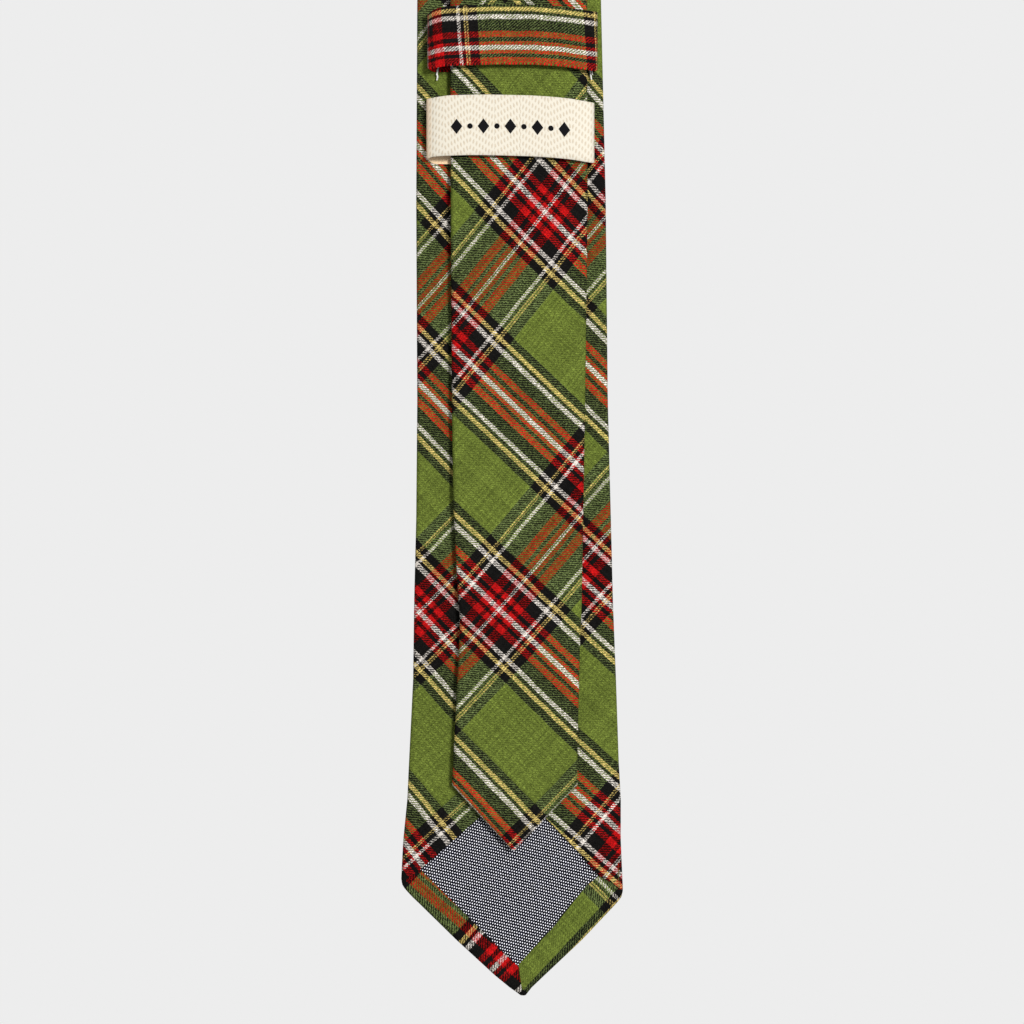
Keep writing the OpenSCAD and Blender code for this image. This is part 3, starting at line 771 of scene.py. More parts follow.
def hem_rows(last):
    """The point of the blade, below its corners: face, folds and hems."""
    rows = np.concatenate([[-730.4], np.arange(-731, -752, -0.9),
                           np.arange(-752.4, -761.4, -0.6), [-761.9, -762.3]])
    P, N, C = [], [], []
    # Whole periods that carry the hems on from the panels above.
    ulc, vlc, urc, vrc, straight = last
    for v in rows:
        k = tilt(v)
        l, r = -32.5, 32.5
        for _ in range(8):
            zl, zr = v - k * l, v - k * r
            l, r = table(BLADE_X, 1, zl), table(BLADE_X, 2, zr)
        a = b = 0.0
        for _ in range(8):
            a = table(HEM_L_END, 1, v - k * a)
            b = table(HEM_R_END, 1, v - k * b)
        x, d = section(l, r, a, b, lap=False, rx=1.5, puff=0.05)
        s = unrolled(x, d)
        z = v - k * x
        d = d - 0.5 * ripple(x, z, 1.0) * np.where(d < SIDE / 2, 1.0, 0.4)
        nx, nd = normals2(x, d)
        P.append(place_blade(x, d, z))
        N.append(np.stack([nx, -nd, np.zeros_like(nx)], axis=-1))
        y = down(z)
        xl, xr, _f = flat_x(x, s)
        ul, vl = hem_left_at(across(xl), y)
        ur, vr = hem_right_at(across(xr), y)
        ul0, vl0 = nearest(ul[APEX_L], ulc, P_A) - ul[APEX_L], nearest(vl[APEX_L], vlc, P_B) - vl[APEX_L]
        if len(P) == 1:
            keep = (ul0, vl0,
                    nearest(ur[APEX_R], urc, P_A) - ur[APEX_R],
                    nearest(vr[APEX_R], vrc, P_B) - vr[APEX_R])
        ul, vl = ul + keep[0], vl + keep[1]
        ur, vr = ur + keep[2] + P_A, vr + keep[3] - P_B
        g = np.arange(len(x))
        fu, fv = (a[0] * x + a[1] * z + a[2] for a in straight)
        U = np.where(g <= APEX_L, ul, np.where(g >= APEX_R, ur, fu))
        V = np.where(g <= APEX_L, vl, np.where(g >= APEX_R, vr, fv))
        C.append(np.stack([U, V], axis=-1))
    return np.array(P), np.array(N), np.array(C), keep


def corner_patch(side, keep):
    """The top of a hem, where it goes in under the flap."""
    rows = np.linspace(-722.6, -730.4, 12)
    P, C = [], []
    for v in rows:
        k = tilt(v)
        e = 0.0
        for _ in range(6):
            if side < 0:
                e = table(HEM_L_END, 1, v - k * e)
                f = table(BLADE_X, 1, v - k * (-32)) + 1.0
            else:
                e = table(HEM_R_END, 1, v - k * e)
                f = table(BLADE_X, 2, v - k * 32) - 1.0
        x = np.linspace(e, f, 12) if side < 0 else np.linspace(f, e, 12)
        z = v - k * x
        d = np.full(12, SIDE - CLOTH / 2 - 0.03)
        P.append(place_blade(x, d, z))
        if side < 0:
            u, w = hem_left_at(across(x), down(z))
            u, w = u + keep[0], w + keep[1]
        else:
            u, w = hem_right_at(across(x), down(z))
            u, w = u + keep[2] + P_A, w + keep[3] - P_B
        C.append(np.stack([u, w], axis=-1))
    P = np.array(P)
    N = np.zeros_like(P)
    N[..., 1] = -1
    return P, N, np.array(C)


def finish_sheet(o, body, names, area):
    if body:
        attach(o, body)
    if names:
        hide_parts(*names)
    return o


# front blade
bb = Build()
P, N, C, last = blade_rows()
area = bb.sheet(P, unit(N), CLOTH / 2, C)
P, N, C, keep = hem_rows(last)
area += bb.sheet(P, unit(N), CLOTH / 2, C)
for side in (-1, 1):
    P, N, C = corner_patch(side, keep)
    if side > 0:
        P, C = P[:, ::-1], C[:, ::-1]
    area += bb.sheet(P, N, CLOTH / 2 - 0.03, C)
front = bb.make("front_shell_cloth", TARTAN)
finish_sheet(front, "blade", ["front_shell"],
             area)


# ---------------------------------------------------------------- neck band
LEG = -SEAM_F                       # length of the front leg
ARC = math.pi * MID
BACK0 = LEG + ARC                   # path length at the top of the back leg


def on_path(x, d, q):
    """Point of the neck band at path length q from the front seam."""
    q = np.asarray(q, float)
    th = np.clip((q - LEG) / MID, 0, math.pi)
    h = FULL / 2 - d
    rad = MID + h
    y = np.where(q < LEG, MID + h, np.where(q > BACK0, -MID - h, rad * np.cos(th)))
    z = np.where(q < LEG, q - LEG, np.where(q > BACK0, -(q - BACK0), rad * np.sin(th)))
    return np.stack([x, y, z], axis=-1)


def path_normal(nx, nd, q):
    th = np.clip((q - LEG) / MID, 0, math.pi)
    return np.stack([nx, -nd * np.cos(th), -nd * np.sin(th)], axis=-1)


def neck_edges(q):
    if q < LEG:
        return table(BLADE_X, 1, q - LEG), table(BLADE_X, 2, q - LEG)
    if q > BACK0:
        z = -(q - BACK0)
        return table(TAIL_X, 1, z), table(TAIL_X, 2, z)
    return -19.5, 19.5


def neck_rows(qs):
    P, N, C = [], [], []
    q_seam = BACK0 - SEAM_T
    for q in qs:
        l, r = neck_edges(q)
        x, d = section(l, r, OVER, -OVER, puff=0.0)
        s = unrolled(x, d)
        lean = seam_lean(q) - seam_lean(q_seam - q)
        qi = q + s * lean
        # the flaps stay behind the fold's own line, so they don't cross it
        g = groove(q) + groove(q_seam - q)
        d = d + g * np.where(d < SIDE / 2, 1, -1)
        d = d - 0.5 * ripple(x, qi, 2.0) * np.where(d < SIDE / 2, 1, 0.2)
        nx, nd = normals2(x, d)
        P.append(on_path(x, d, qi))
        N.append(path_normal(nx, nd, qi))
        U = 0.715 * across(s) - 0.70 * across(qi) + 31.0
        V = -0.70 * across(s) - 0.715 * across(qi) + 88.0
        C.append(np.stack([U, V], axis=-1))
    return np.array(P), unit(np.array(N)), np.array(C)


Q_SPLIT = BACK0 + 5.0
qs = np.concatenate([[0, 0.3, 0.7, 1.3], np.arange(3, LEG - 1, 3.0),
                     np.linspace(LEG, BACK0, 33), [BACK0 + 2.5, Q_SPLIT]])
bb = Build()
P, N, C = neck_rows(qs)
area = bb.sheet(P, N, CLOTH / 2, C)
neck = bb.make("neck_gore_cloth", TARTAN)
finish_sheet(neck, "blade", ["neck_gore"],
             area)

Q_END = BACK0 - SEAM_T
qs = np.concatenate([np.arange(Q_SPLIT, BACK0 + 30, 1.0),
                     np.arange(BACK0 + 30, Q_END - 2, 2.5),
                     [Q_END - 1.3, Q_END - 0.7, Q_END - 0.3, Q_END]])
bb = Build()
P, N, C = neck_rows(qs)
area = bb.sheet(P, N, CLOTH / 2, C)
gore_t = bb.make("neck_gore_tail_side_cloth", TARTAN)
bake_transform(gore_t)
finish_sheet(gore_t, None, ["neck_gore_tail_side"],
             area)


# ---------------------------------------------------------------- tail
TAIL_L_END = [[0, OVER], [-672, OVER], [-675.5, 0.3], [-696, -13],
              [-701, -17.6]]
TAIL_R_END = [[0, -OVER], [-672, -OVER], [-675.5, 0.6], [-696, 14.4],
              [-701, 19.2]]
TAIL_HEM_L = [[-696, -13], [-712.5, 0.2], [-720.5, 0.35]]
TAIL_HEM_R = [[-696, 14.4], [-712.5, 0.4], [-720.5, 0.45]]
TAIL_K = (DIST + (-8.15 - PLANE_Y)) / DIST


def toward(z):
    """The tail lies nearer the eye than the blade, so the lower half of it,
    which was measured on the blade's plane, is a little smaller."""
    k = 1 + (TAIL_K - 1) * ease((-300 - z) / 155)
    return k, CAM_Z + (z - CAM_Z) * k


def tail_rows(rows, low=False):
    P, N, C = [], [], []
    for v in rows:
        l, r = table(TAIL_X, 1, v), table(TAIL_X, 2, v)
        if low:
            a, b = table(TAIL_HEM_L, 1, v), table(TAIL_HEM_R, 1, v)
            x, d = section(l, r, a, b, lap=False, rx=1.5)
        else:
            a, b = table(TAIL_L_END, 1, v), table(TAIL_R_END, 1, v)
            up = ease((-668 - v) / 10)
            x, d = section(l, r, a, b, lift_l=0.25 * up, lift_r=0.25 * up)
        s = unrolled(x, d)
        z = v + s * seam_lean(SEAM_T - v)
        d = d + groove(SEAM_T - v) * np.where(d < SIDE / 2, 1, -1)
        d = d - 0.5 * ripple(x, z, 3.0) * np.where(d < SIDE / 2, 1, 0.3)
        nx, nd = normals2(x, d)
        k, zz = toward(z)
        P.append(place_tail(x * k, d, zz))
        N.append(np.stack([nx, nd, np.zeros_like(nx)], axis=-1))
        _l, _r, xf = flat_x(x, s)
        xu, yu = across(xf), down(z)
        U, V = cloth_at(TAIL_MAP, xu, yu)
        # the cloth is drawn round its low left edge, most at the corner
        t_ = np.clip((-701.0 - z) / 19.5, -1, 1)
        away = np.clip((x + 17.6) * 0.735 + (z + 701.0) * 0.678, 0, None)
        U = U + (0.8 + 4.0 * np.clip(1 - t_, 0, 1)) * ease((-694 - z) / 7) * np.exp(-away / 1.5)
        away = np.clip((19.2 - x) * 0.72 + (z + 701.0) * 0.69, 0, None)
        V = V + 1.8 * ease((-694 - z) / 7) * np.exp(-away / 2.0)
        if low:
            # the turned hems show the cloth from beyond the low edges
            for side, idx in ((-1, np.arange(len(x)) < APEX_L),
                              (1, np.arange(len(x)) > APEX_R)):
                ex, ey = (-17.6, -701.0) if side < 0 else (19.2, -701.0)
                tx, tz = 0.4 - ex, -720.5 - ey
                q = math.hypot(tx, tz)
                tx, tz = tx / q, tz / q
                rx_, rz = x - ex, z - ey
                along = rx_ * tx + rz * tz
                mx = ex + 2 * along * tx - rx_
                mz = ey + 2 * along * tz - rz
                u2, v2 = cloth_at(TAIL_MAP, across(mx), down(mz))
                U, V = np.where(idx, u2, U), np.where(idx, v2, V)
        C.append(np.stack([U, V], axis=-1))
    return np.array(P), unit(np.array(N)), np.array(C)


TAIL_SPLIT = -345.0
rows_a = np.concatenate([[-150, -150.3, -150.7, -151.3],
                         np.arange(-153, -205, -2.5), np.arange(-205, -265, -1.5),
                         np.arange(-265, TAIL_SPLIT, -2.5), [TAIL_SPLIT]])
bb = Build()
P, N, C = tail_rows(rows_a)
area = bb.sheet(P[:, ::-1], N[:, ::-1], CLOTH / 2, C[:, ::-1])
tail_a = bb.make("tail_shell_upper_cloth", TARTAN)
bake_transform(tail_a)
finish_sheet(tail_a, None, ["tail_shell_upper"],
             area)

rows_b = np.concatenate([np.arange(TAIL_SPLIT, -435, -2.5),
                         np.arange(-435, -475, -1.5),
                         np.arange(-475, -668, -2.5),
                         np.arange(-668, -700.8, -0.8), [-701.0]])
rows_c = np.concatenate([np.arange(-701.0, -713.5, -0.8),
                         np.arange(-713.5, -719.4, -0.6), [-719.8]])
bb = Build()
P, N, C = tail_rows(rows_b)
area = bb.sheet(P[:, ::-1], N[:, ::-1], CLOTH / 2, C[:, ::-1])
P, N, C = tail_rows(rows_c, low=True)
area += bb.sheet(P[:, ::-1], N[:, ::-1], CLOTH / 2, C[:, ::-1])
tail_b = bb.make("tail_shell_lower_cloth", TARTAN)
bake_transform(tail_b)
finish_sheet(tail_b, None, ["tail_shell_middle", "tail_shell_end"],
             area)


# ---------------------------------------------------------------- inner layers
def flat_layer(name, mat, rows, edge, depth, half, place, inset, wave=0.0, cols=22):
    """A flat layer of lining or interlining inside the fold."""
    bb = Build()
    P, C = [], []
    for v in rows:
        l, r = edge(v)
        w = min(inset, 0.3 * (r - l))
        x = np.linspace(l + w, r - w, cols)
        z = np.full(cols, float(v))
        d = np.full(cols, depth) - wave * ripple(x, z, 5.0)
        p, n = place(x, d, z)
        P.append(p)
        C.append(np.stack([x, z], axis=-1))
    P = np.array(P)
    du = np.gradient(P, axis=1)
    dv = np.gradient(P, axis=0)
    N = unit(np.cross(du, dv))
    area = bb.sheet(P, N, half, np.array(C))
    return bb.make(name, mat), area


def blade_place(x, d, z):
    return place_blade(x, d, z), None


def tail_place(x, d, z):
    k, zz = toward(z)
    return place_tail(x * k, d, zz), None


def path_place(x, d, z):
    return on_path(x, d, z), None


def blade_edge(v):
    return table(BLADE_X, 1, v), table(BLADE_X, 2, v)


def tail_edge(v):
    return table(TAIL_X, 1, v), table(TAIL_X, 2, v)


CORE_D = CLOTH + LAY + CORE / 2
rows = np.concatenate([np.arange(-142, -725, -4.0), np.arange(-725, -755.5, -1.5)])
o, area = flat_layer("front_interlining_wool", WOOL, rows, blade_edge,
                     CORE_D - 0.2, CORE / 2 - 0.22, blade_place, 1.5)
finish_sheet(o, "blade", ["front_interlining"],
             area)
rows = np.concatenate([np.arange(-612, -722, -3.0), np.arange(-722, -755.2, -0.9)])
o, area = flat_layer("front_tipping_cloth", LINE, rows, blade_edge,
                     SIDE - CLOTH - LAY - LINING / 2, LINING / 2, blade_place,
                     1.7, wave=0.5, cols=40)
finish_sheet(o, "blade", ["front_tipping"],
             area)

qs = np.concatenate([np.arange(0, LEG, 4.0), np.linspace(LEG, BACK0, 25), [Q_SPLIT]])
o, area = flat_layer("neck_interlining_wool", WOOL, qs, neck_edges, CORE_D,
                     CORE / 2 - 0.1, path_place, 1.3)
finish_sheet(o, "blade", ["neck_interlining"],
             area)
qs = np.concatenate([np.arange(Q_SPLIT, BACK0 + 30, 1.0), np.arange(BACK0 + 30, Q_END, 3.0), [Q_END]])
o, area = flat_layer("neck_interlining_tail_wool", WOOL, qs, neck_edges, CORE_D,
                     CORE / 2 - 0.1, path_place, 1.3)
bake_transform(o)
finish_sheet(o, None, ["neck_interlining_tail_side"],
             area)
rows = np.concatenate([np.arange(-150, -205, -3.0), np.arange(-205, -265, -1.5),
                       np.arange(-265, TAIL_SPLIT, -3.0), [TAIL_SPLIT]])
o, area = flat_layer("tail_interlining_upper_wool", WOOL, rows, tail_edge, CORE_D,
                     CORE / 2 - 0.1, tail_place, 1.3)
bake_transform(o)
finish_sheet(o, None, ["tail_interlining_upper"],
             area)
rows = np.concatenate([np.arange(TAIL_SPLIT, -435, -3.0), np.arange(-435, -475, -1.5),
                       np.arange(-475, -700, -3.0), np.arange(-700, -713.5, -1.2)])
o, area = flat_layer("tail_interlining_lower_wool", WOOL, rows, tail_edge,
                     CORE_D - 0.15, CORE / 2 - 0.25, tail_place, 1.4)
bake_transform(o)
finish_sheet(o, None, ["tail_interlining_middle", "tail_interlining_end"],
             area)
rows = np.concatenate([np.arange(-641, -700, -3.0), np.arange(-700, -713.5, -0.9)])
o, area = flat_layer("tail_tipping_cloth", LINE, rows, tail_edge,
                     SIDE - CLOTH - LAY - LINING / 2, LINING / 2, tail_place,
                     1.6, cols=26)
finish_sheet(o, "tail_end", ["tail_tipping"],
             area)


# ---------------------------------------------------------------- loops
def profile(u, pts):
    """Smooth curve through (place, value) pairs."""
    p = np.array(pts, float)
    x, y = p[:, 0], p[:, 1]
    m = np.zeros(len(x))
    h = np.diff(x)
    s = np.diff(y) / h
    m[0], m[-1] = s[0], s[-1]
    for i in range(1, len(x) - 1):
        m[i] = 0 if s[i - 1] * s[i] <= 0 else 2 * s[i - 1] * s[i] / (s[i - 1] + s[i])
    u = np.clip(u, x[0], x[-1])
    i = np.clip(np.searchsorted(x, u) - 1, 0, len(x) - 2)
    t = (u - x[i]) / h[i]
    return ((2 * t ** 3 - 3 * t ** 2 + 1) * y[i] + (t ** 3 - 2 * t ** 2 + t) * h[i] * m[i]
            + (-2 * t ** 3 + 3 * t ** 2) * y[i + 1] + (t ** 3 - t ** 2) * h[i] * m[i + 1])


def loop_line(x0, a, rise, thick, under, tab, power, n=64):
    """Middle line of a loop's band: left tab, arch, right tab, as x and y."""
    ym = SEW_Y - LAY - 0.02
    half = thick / 2
    xs, ys = [], []
    e = rise - half
    aa = a - half
    base = ym - half * 0.0
    # left tab, from its free end out to the corner
    tx = np.linspace(x0 - a + tab, x0 - a + 1.4, 7)
    xs += list(tx)
    ys += [base - half] * 7
    r = 0.5
    t = np.linspace(180, 0, n)
    for q in np.radians(t):
        c, s_ = math.cos(q), math.sin(q)
        xs.append(x0 + aa * math.copysign(abs(c) ** (2 / power), c))
        ys.append(base - thick - 0.12 - (e - thick - 0.12) * abs(s_) ** (2 / power))
    tx = np.linspace(x0 + a - 1.4, x0 + a - tab, 7)
    xs += list(tx)
    ys += [base - half] * 7
    return np.array(xs), np.array(ys)


def band(name, mat, x0, a, rise, thick, tab, power, top, low, tab_low, cloth,
         flat_rows=9):
    """A loop of cloth or tape. top and low give its edges on the picture
    plane, for each place across, and tab_low the low edge of its left tab."""
    X, Y = loop_line(x0, a, rise, thick, thick, tab, power)
    ds = np.hypot(np.diff(X), np.diff(Y))
    S = np.concatenate([[0], np.cumsum(ds)])
    m = len(X) // 2
    S -= S[m]
    n = len(X)
    tx, ty = np.gradient(X), np.gradient(Y)
    ln = np.hypot(tx, ty)
    nx, ny = ty / ln, -tx / ln
    P, N, C = [], [], []
    for w in np.linspace(0, 1, flat_rows):
        row, crow = [], []
        for i in range(n):
            k = (DIST + (Y[i] - PLANE_Y)) / DIST
            u = 512 + X[i] / (UNIT * k)
            is_tab = i < 7 or i >= n - 7
            t = profile(u, top)
            b = profile(u, low)
            if is_tab:
                t += 5.0
            if i < 7:
                b = profile(u, tab_low)
            pv = t + (b - t) * w
            z = CAM_Z + (512 - pv) * UNIT * k
            row.append((X[i], Y[i], z))
            crow.append(cloth(u, w, S[i]))
        P.append(row)
        N.append([(nx[i], ny[i], 0) for i in range(n)])
        C.append(crow)
    P, N, C = np.array(P), np.array(N), np.array(C)
    bb = Build()
    # rows run along the band's edges: rounded long edges need rows as columns
    P2, N2, C2 = P.transpose(1, 0, 2), N.transpose(1, 0, 2), C.transpose(1, 0, 2)
    area = bb.sheet(P2, N2, thick / 2, C2, wrap_end=0.9)
    return bb.make(name, mat), area


K_TOP = [(420, 24), (427.5, 19), (429, 14.8), (433, 11.6), (438.5, 9.4), (446, 8.0),
         (460, 6.9), (479, 6.0), (500, 5.5), (521, 5.3), (545, 6.6), (560, 8.1),
         (580, 10.8), (590, 12.2), (596, 12.8), (604, 13.2)]
K_LOW = [(420, 66), (427.5, 67.5), (430, 68.2), (434, 67.2), (441, 65.4), (449, 64.6),
         (460, 64.0), (479, 63.6), (500, 62.9), (521, 62.9), (545, 63.9), (560, 65.0),
         (580, 67.6), (590, 69.0), (596, 69.8), (604, 70.2)]


def label_cloth(u, w, s):
    return (s, w * 17.6)


def keeper_v(u, w, s):
    # along the band, the cloth runs on round its ends
    return (-42.2 + 58.2 * w, 110.6 - 3.9 * w + s / UNIT / 0.99)


K_TAB = [(420, 66.5), (428, 67.6), (431, 69.4), (434, 70.6), (446, 70.6), (460, 70.4)]
L_TAB = [(420, 158.5), (427, 159.4), (431, 161.8), (434, 163.1), (450, 163.4), (460, 163.4)]
o, area = band("keeper_loop_cloth", TARTAN, 0.15, 24.75, 7.8, 0.9, 6.6, 5.0,
               K_TOP, K_LOW, K_TAB, keeper_v, flat_rows=13)
finish_sheet(o, "blade", ["keeper_loop"],
             min(area, 0.0185 * 0.088 * 1e6))

L_TOP = [(420, 101), (427, 99.8), (436, 98.0), (450.5, 96.1), (479, 95.4), (503, 95.3),
         (537.4, 96.6), (567.4, 99.1), (593.6, 103.6), (600, 104.5)]
L_LOW = [(420, 159.5), (427, 158.4), (431, 156.4), (440, 155.2), (455, 154.6), (470, 154.2),
         (503, 154.4), (537.4, 155.8), (567.4, 158.2), (593.6, 162.3), (600, 163.2)]
o, area = band("label_tape_cloth", TAPE, -0.45, 24.45, 6.8, 0.55, 7.5, 5.0,
               L_TOP, L_LOW, L_TAB, label_cloth, flat_rows=11)
finish_sheet(o, "blade", ["label_tape"],
             min(area, 0.0178 * 0.085 * 1e6))


def label_surface(x, w):
    """Point on the label's outer face at x and share w of its height."""
    X, Y = loop_line(-0.45, 24.45, 6.8, 0.55, 0.55, 7.5, 5.0)
    X, Y = X[7:-7], Y[7:-7]
    y = np.interp(x, X, Y) - 0.275
    k = (DIST + (y - PLANE_Y)) / DIST
    u = 512 + x / (UNIT * k)
    pv = profile(u, L_TOP) + (profile(u, L_LOW) - profile(u, L_TOP)) * w
    return y, CAM_Z + (512 - pv) * UNIT * k


# ---------------------------------------------------------------- woven motif
bb = Build()
for i in range(-4, 5):
    xc = -0.45 + i * 3.9
    if i % 2 == 0:
        outline = [(-1.7, 0), (0, 2.2), (1.7, 0), (0, -2.2)]
    else:
        outline = [(0.8 * math.cos(q), 0.8 * math.sin(q))
                   for q in np.linspace(0, 2 * math.pi, 12, endpoint=False)]
    ring = []
    n = len(outline)
    sub = 4 if n == 4 else 1
    for j in range(n):
        p, q = np.array(outline[j]), np.array(outline[(j + 1) % n])
        for t in range(sub):
            ring.append(p + (q - p) * t / sub)
    ring = np.array(ring)
    levels = [(1.0, 0.02), (1.0, -0.05), (0.86, -0.13), (0.45, -0.17)]
    verts, cl = [], []
    for scale, dy in levels:
        for p in ring * scale:
            y, z0 = label_surface(xc + p[0], 0.52)
            verts.append((xc + p[0], y + dy, z0 + p[1]))
            cl.append((p[0], p[1]))
    y, z0 = label_surface(xc, 0.52)
    verts.append((xc, y - 0.18, z0))
    cl.append((0, 0))
    verts.append((xc, y + 0.03, z0))
    cl.append((0, 0))
    m = len(ring)
    faces = []
    for L in range(len(levels) - 1):
        for j in range(m):
            k = (j + 1) % m
            faces.append([L * m + j, L * m + k, (L + 1) * m + k, (L + 1) * m + j])
    for j in range(m):
        k = (j + 1) % m
        faces.append([(len(levels) - 1) * m + j, (len(levels) - 1) * m + k, 4 * m])
        faces.append([k, j, 4 * m + 1])
    bb.add(verts, faces, cl)
o = bb.make("label_motif_weave", BLACK_O, sharp=40)
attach(o, "blade")
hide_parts("label_motif")


# ---------------------------------------------------------------- stitches
def stitch_line(bb, p, q, out, radius, rise):
    """One stitch from p to q that stands off the cloth in the middle."""
    p, q, out = np.array(p, float), np.array(q, float), np.array(out, float)
    pts = []
    for t in np.linspace(0, 1, 7):
        h = math.sin(math.pi * t) * rise - (0.10 if t in (0, 1) else 0)
        pts.append(p + (q - p) * t + out * h)
    bb.tube(pts, radius, sides=8)


def group(name, mat, body, replaced, make, blend=None):
    bb = Build()
    make(bb)
    o = bb.make(name, mat, sharp=60)
    if blend:
        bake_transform(o)
    else:
        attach(o, body)
    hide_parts(*replaced)
    return o


OUT = (0, -1, 0)
INN = (0, 1, 0)


def tipping_st(bb):
    y = BLADE_Y + FULL / 2 - SIDE + 0.02
    for i in range(1, 12):
        t = i / 12
        ax, az = -26.5 + 28.3 * t, -725.1 - 28.1 * t
        bz = -728.0 - 25.2 * t
        bx = float(table(HEM_R_END, 1, bz))
        stitch_line(bb, (ax - 0.25, y + 0.02, az - 0.25), (ax + 0.45, y + 0.42, az + 0.4),
                    OUT, 0.055, 0.05)
        stitch_line(bb, (bx + 0.25, y + 0.02, bz - 0.25), (bx - 0.45, y + 0.42, bz + 0.4),
                    OUT, 0.055, 0.05)


group("front_tipping_stitch_thread", DARK_T, "blade",
      ["front_tipping_stitches"], tipping_st)


def slip_front(bb):
    for i in range(43):
        z = -176 - i * 12
        y = blade_mid(z) + FULL / 2 - FULL - 0.02
        stitch_line(bb, (-OVER + 0.5, y + 0.02, z - 1.1), (-OVER - 0.55, y + 0.42, z + 1.1),
                    OUT, 0.09, 0.10)


group("front_slip_stitch_thread", WHITE_T, "blade",
      ["front_slip_stitch"], slip_front)


def tack(bb, x0, y, z, n, h, sgn):
    for i in range(n):
        x = x0 + i * 0.3
        stitch_line(bb, (x, y, z - h / 2), (x + 0.12, y, z + h / 2),
                    (0, sgn, 0), 0.11, 0.12)


group("front_bar_tack_thread", WHITE_T, "blade",
      ["front_bar_tack"], lambda bb: tack(
          bb, -4.9, BLADE_Y + FULL / 2 - FULL + 0.02, -689, 7, 2.8, -1))


def seam_f(bb):
    for i in range(-8, 9):
        x, z = i * 2.3, SEAM_F + i * 2.3
        stitch_line(bb, (x - 0.75, MID + FULL / 2 - 0.16, z - 0.75),
                    (x + 0.75, MID + FULL / 2 - 0.16, z + 0.75), INN, 0.08, 0.0)


group("front_joining_seam_thread", DARK_T, "blade",
      ["front_joining_seam"], seam_f)


def seam_t(bb):
    for i in range(-8, 9):
        x, z = i * 2.3, SEAM_T + i * 2.3
        stitch_line(bb, (x - 0.75, -MID - FULL / 2 + 0.16, z - 0.75),
                    (x + 0.75, -MID - FULL / 2 + 0.16, z + 0.75), OUT, 0.08, 0.0)


group("tail_joining_seam_thread", DARK_T, "tail_upper",
      ["tail_joining_seam"], seam_t)


def slip_tail(z0, z1):
    def make(bb):
        z = z0
        while z > z1:
            y = -MID - FULL / 2 + FULL + 0.0
            k, zz = toward(z)
            stitch_line(bb, (-OVER + 0.5, y, zz - 1.1), (-OVER - 0.55, y - 0.42, zz + 1.1),
                        INN, 0.09, 0.08)
            z -= 12
    return make


group("tail_slip_stitch_upper_thread", WHITE_T, None,
      ["tail_slip_stitch_upper"], slip_tail(-176, -343),
      ("tail_upper", "tail_lower", (0, -MID * MM, -0.2145), (0, -MID * MM, -0.2545)))
group("tail_slip_stitch_lower_thread", WHITE_T, None,
      ["tail_slip_stitch_middle", "tail_slip_stitch_end"], slip_tail(-356, -662),
      ("tail_lower", "tail_end", (0, -MID * MM, -0.438), (0, -MID * MM, -0.472)))


def tack_tail(bb):
    k, zz = toward(-667.0)
    tack(bb, -4.9, -MID + FULL / 2 - 0.02, float(zz), 6, 2.4, 1)


group("tail_bar_tack_thread", WHITE_T, "tail_end",
      ["tail_bar_tack"], tack_tail)


def tipping_tail(bb):
    y = -MID - FULL / 2 + SIDE - 0.02
    for i in range(1, 7):
        t = i / 7
        for x, z, sx in ((-13 + 13.2 * t, -696 - 16.5 * t, 1), (14.4 - 14 * t, -696 - 16.5 * t, -1)):
            k, zz = toward(z)
            zz = float(zz)
            stitch_line(bb, (x - 0.25 * sx, y - 0.02, zz - 0.25),
                        (x + 0.4 * sx, y - 0.42, zz + 0.35), INN, 0.055, 0.05)


group("tail_tipping_stitch_thread", DARK_T, "tail_end",
      ["tail_tipping_stitches"], tipping_tail)


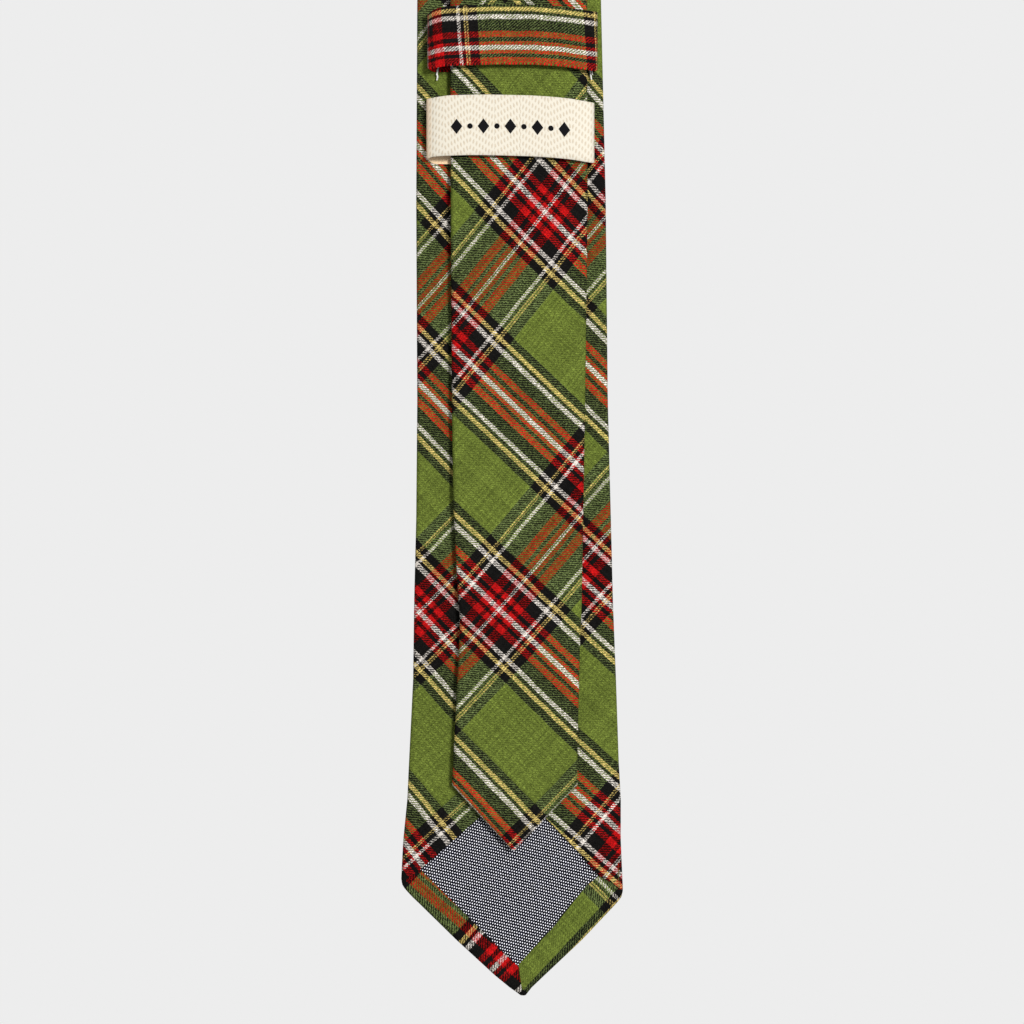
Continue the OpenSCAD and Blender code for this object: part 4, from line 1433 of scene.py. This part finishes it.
def keeper_st(bb):
    for sgn in (-1, 1):
        for i in range(5):
            x, z = 0.15 + sgn * 18.5, -475.5 - i * 3.2
            stitch_line(bb, (x - 0.6, SEW_Y - 1.0, z), (x + 0.6, SEW_Y - 1.0, z + 0.2),
                        OUT, 0.10, 0.10)
    # loose ends of thread that hang below the loop
    bb.tube([(-21.5, -5.0, -491.0), (-21.75, -5.3, -492.0), (-21.9, -5.4, -493.0),
             (-21.7, -5.4, -493.9), (-21.95, -5.3, -494.8)], 0.22, sides=8)
    bb.tube([(-22.1, -5.4, -493.2), (-21.6, -5.7, -493.7), (-21.9, -5.6, -494.3)],
            0.17, sides=8)
    bb.tube([(20.0, -5.6, -490.7), (20.45, -5.7, -491.6), (21.0, -5.6, -492.8)],
            0.22, sides=8)
    bb.tube([(22.6, -5.0, -491.1), (22.85, -5.3, -492.4), (23.0, -5.4, -493.5),
             (23.2, -5.3, -494.6)], 0.22, sides=8)
    bb.tube([(23.5, -5.0, -491.2), (23.35, -5.3, -492.2), (23.5, -5.3, -493.2)],
            0.15, sides=8)


group("keeper_stitch_thread", WHITE_T, "blade",
      ["keeper_stitches"], keeper_st)


def label_st(bb):
    for sgn in (-1, 1):
        for i in range(5):
            x, z = -0.45 + sgn * 18.3, -502.0 - i * 3.2
            stitch_line(bb, (x - 0.6, SEW_Y - 0.62, z), (x + 0.6, SEW_Y - 0.62, z + 0.2),
                        OUT, 0.09, 0.10)


group("label_stitch_thread", CREAM_T, "blade",
      ["label_stitches"], label_st)


# ---------------------------------------------------------------- stage, light
world = bpy.data.worlds.new("world")
scene.world = world
world.use_nodes = True
bg = world.node_tree.nodes["Background"]
bg.inputs[0].default_value = (0.847, 0.847, 0.847, 1)
bg.inputs[1].default_value = 1.0

floor_mesh = bpy.data.meshes.new("floor")
ring = [(0.5 * math.cos(a), 0.5 * math.sin(a), -1.0)
        for a in np.linspace(0, 2 * math.pi, 96, endpoint=False)]
floor_mesh.from_pydata(ring, [], [list(range(96))])
floor = bpy.data.objects.new("floor", floor_mesh)
scene.collection.objects.link(floor)
t = Tree("floor_pale")
g = t.t.nodes.new("ShaderNodeTexCoord")
floor_mesh.materials.append(t.finish(
    t.mix(t.noise(g.outputs["Object"], 3.0, 2), (0.30, 0.30, 0.30), (0.31, 0.31, 0.31)),
    0.9, None, 0, sheen=0.0, spec=0.1))


def area_light(name, loc, target, size, power):
    d = bpy.data.lights.new(name, "AREA")
    d.shape = "DISK"
    d.size = size
    d.energy = power
    o = bpy.data.objects.new(name, d)
    scene.collection.objects.link(o)
    o.location = loc
    v = np.array(target) - np.array(loc)
    from mathutils import Vector
    o.rotation_euler = Vector(v).to_track_quat("-Z", "Y").to_euler()
    return o


area_light("key", (0.36, -0.95, -0.40), (0, 0, -0.62), 0.22, 18.0)
area_light("back", (-0.5, 0.9, -0.2), (0, 0, -0.5), 0.6, 14.0)

scene.view_settings.view_transform = "Standard"
scene.view_settings.look = "None"
scene.view_settings.exposure = 0.0
scene.view_settings.gamma = 1.0
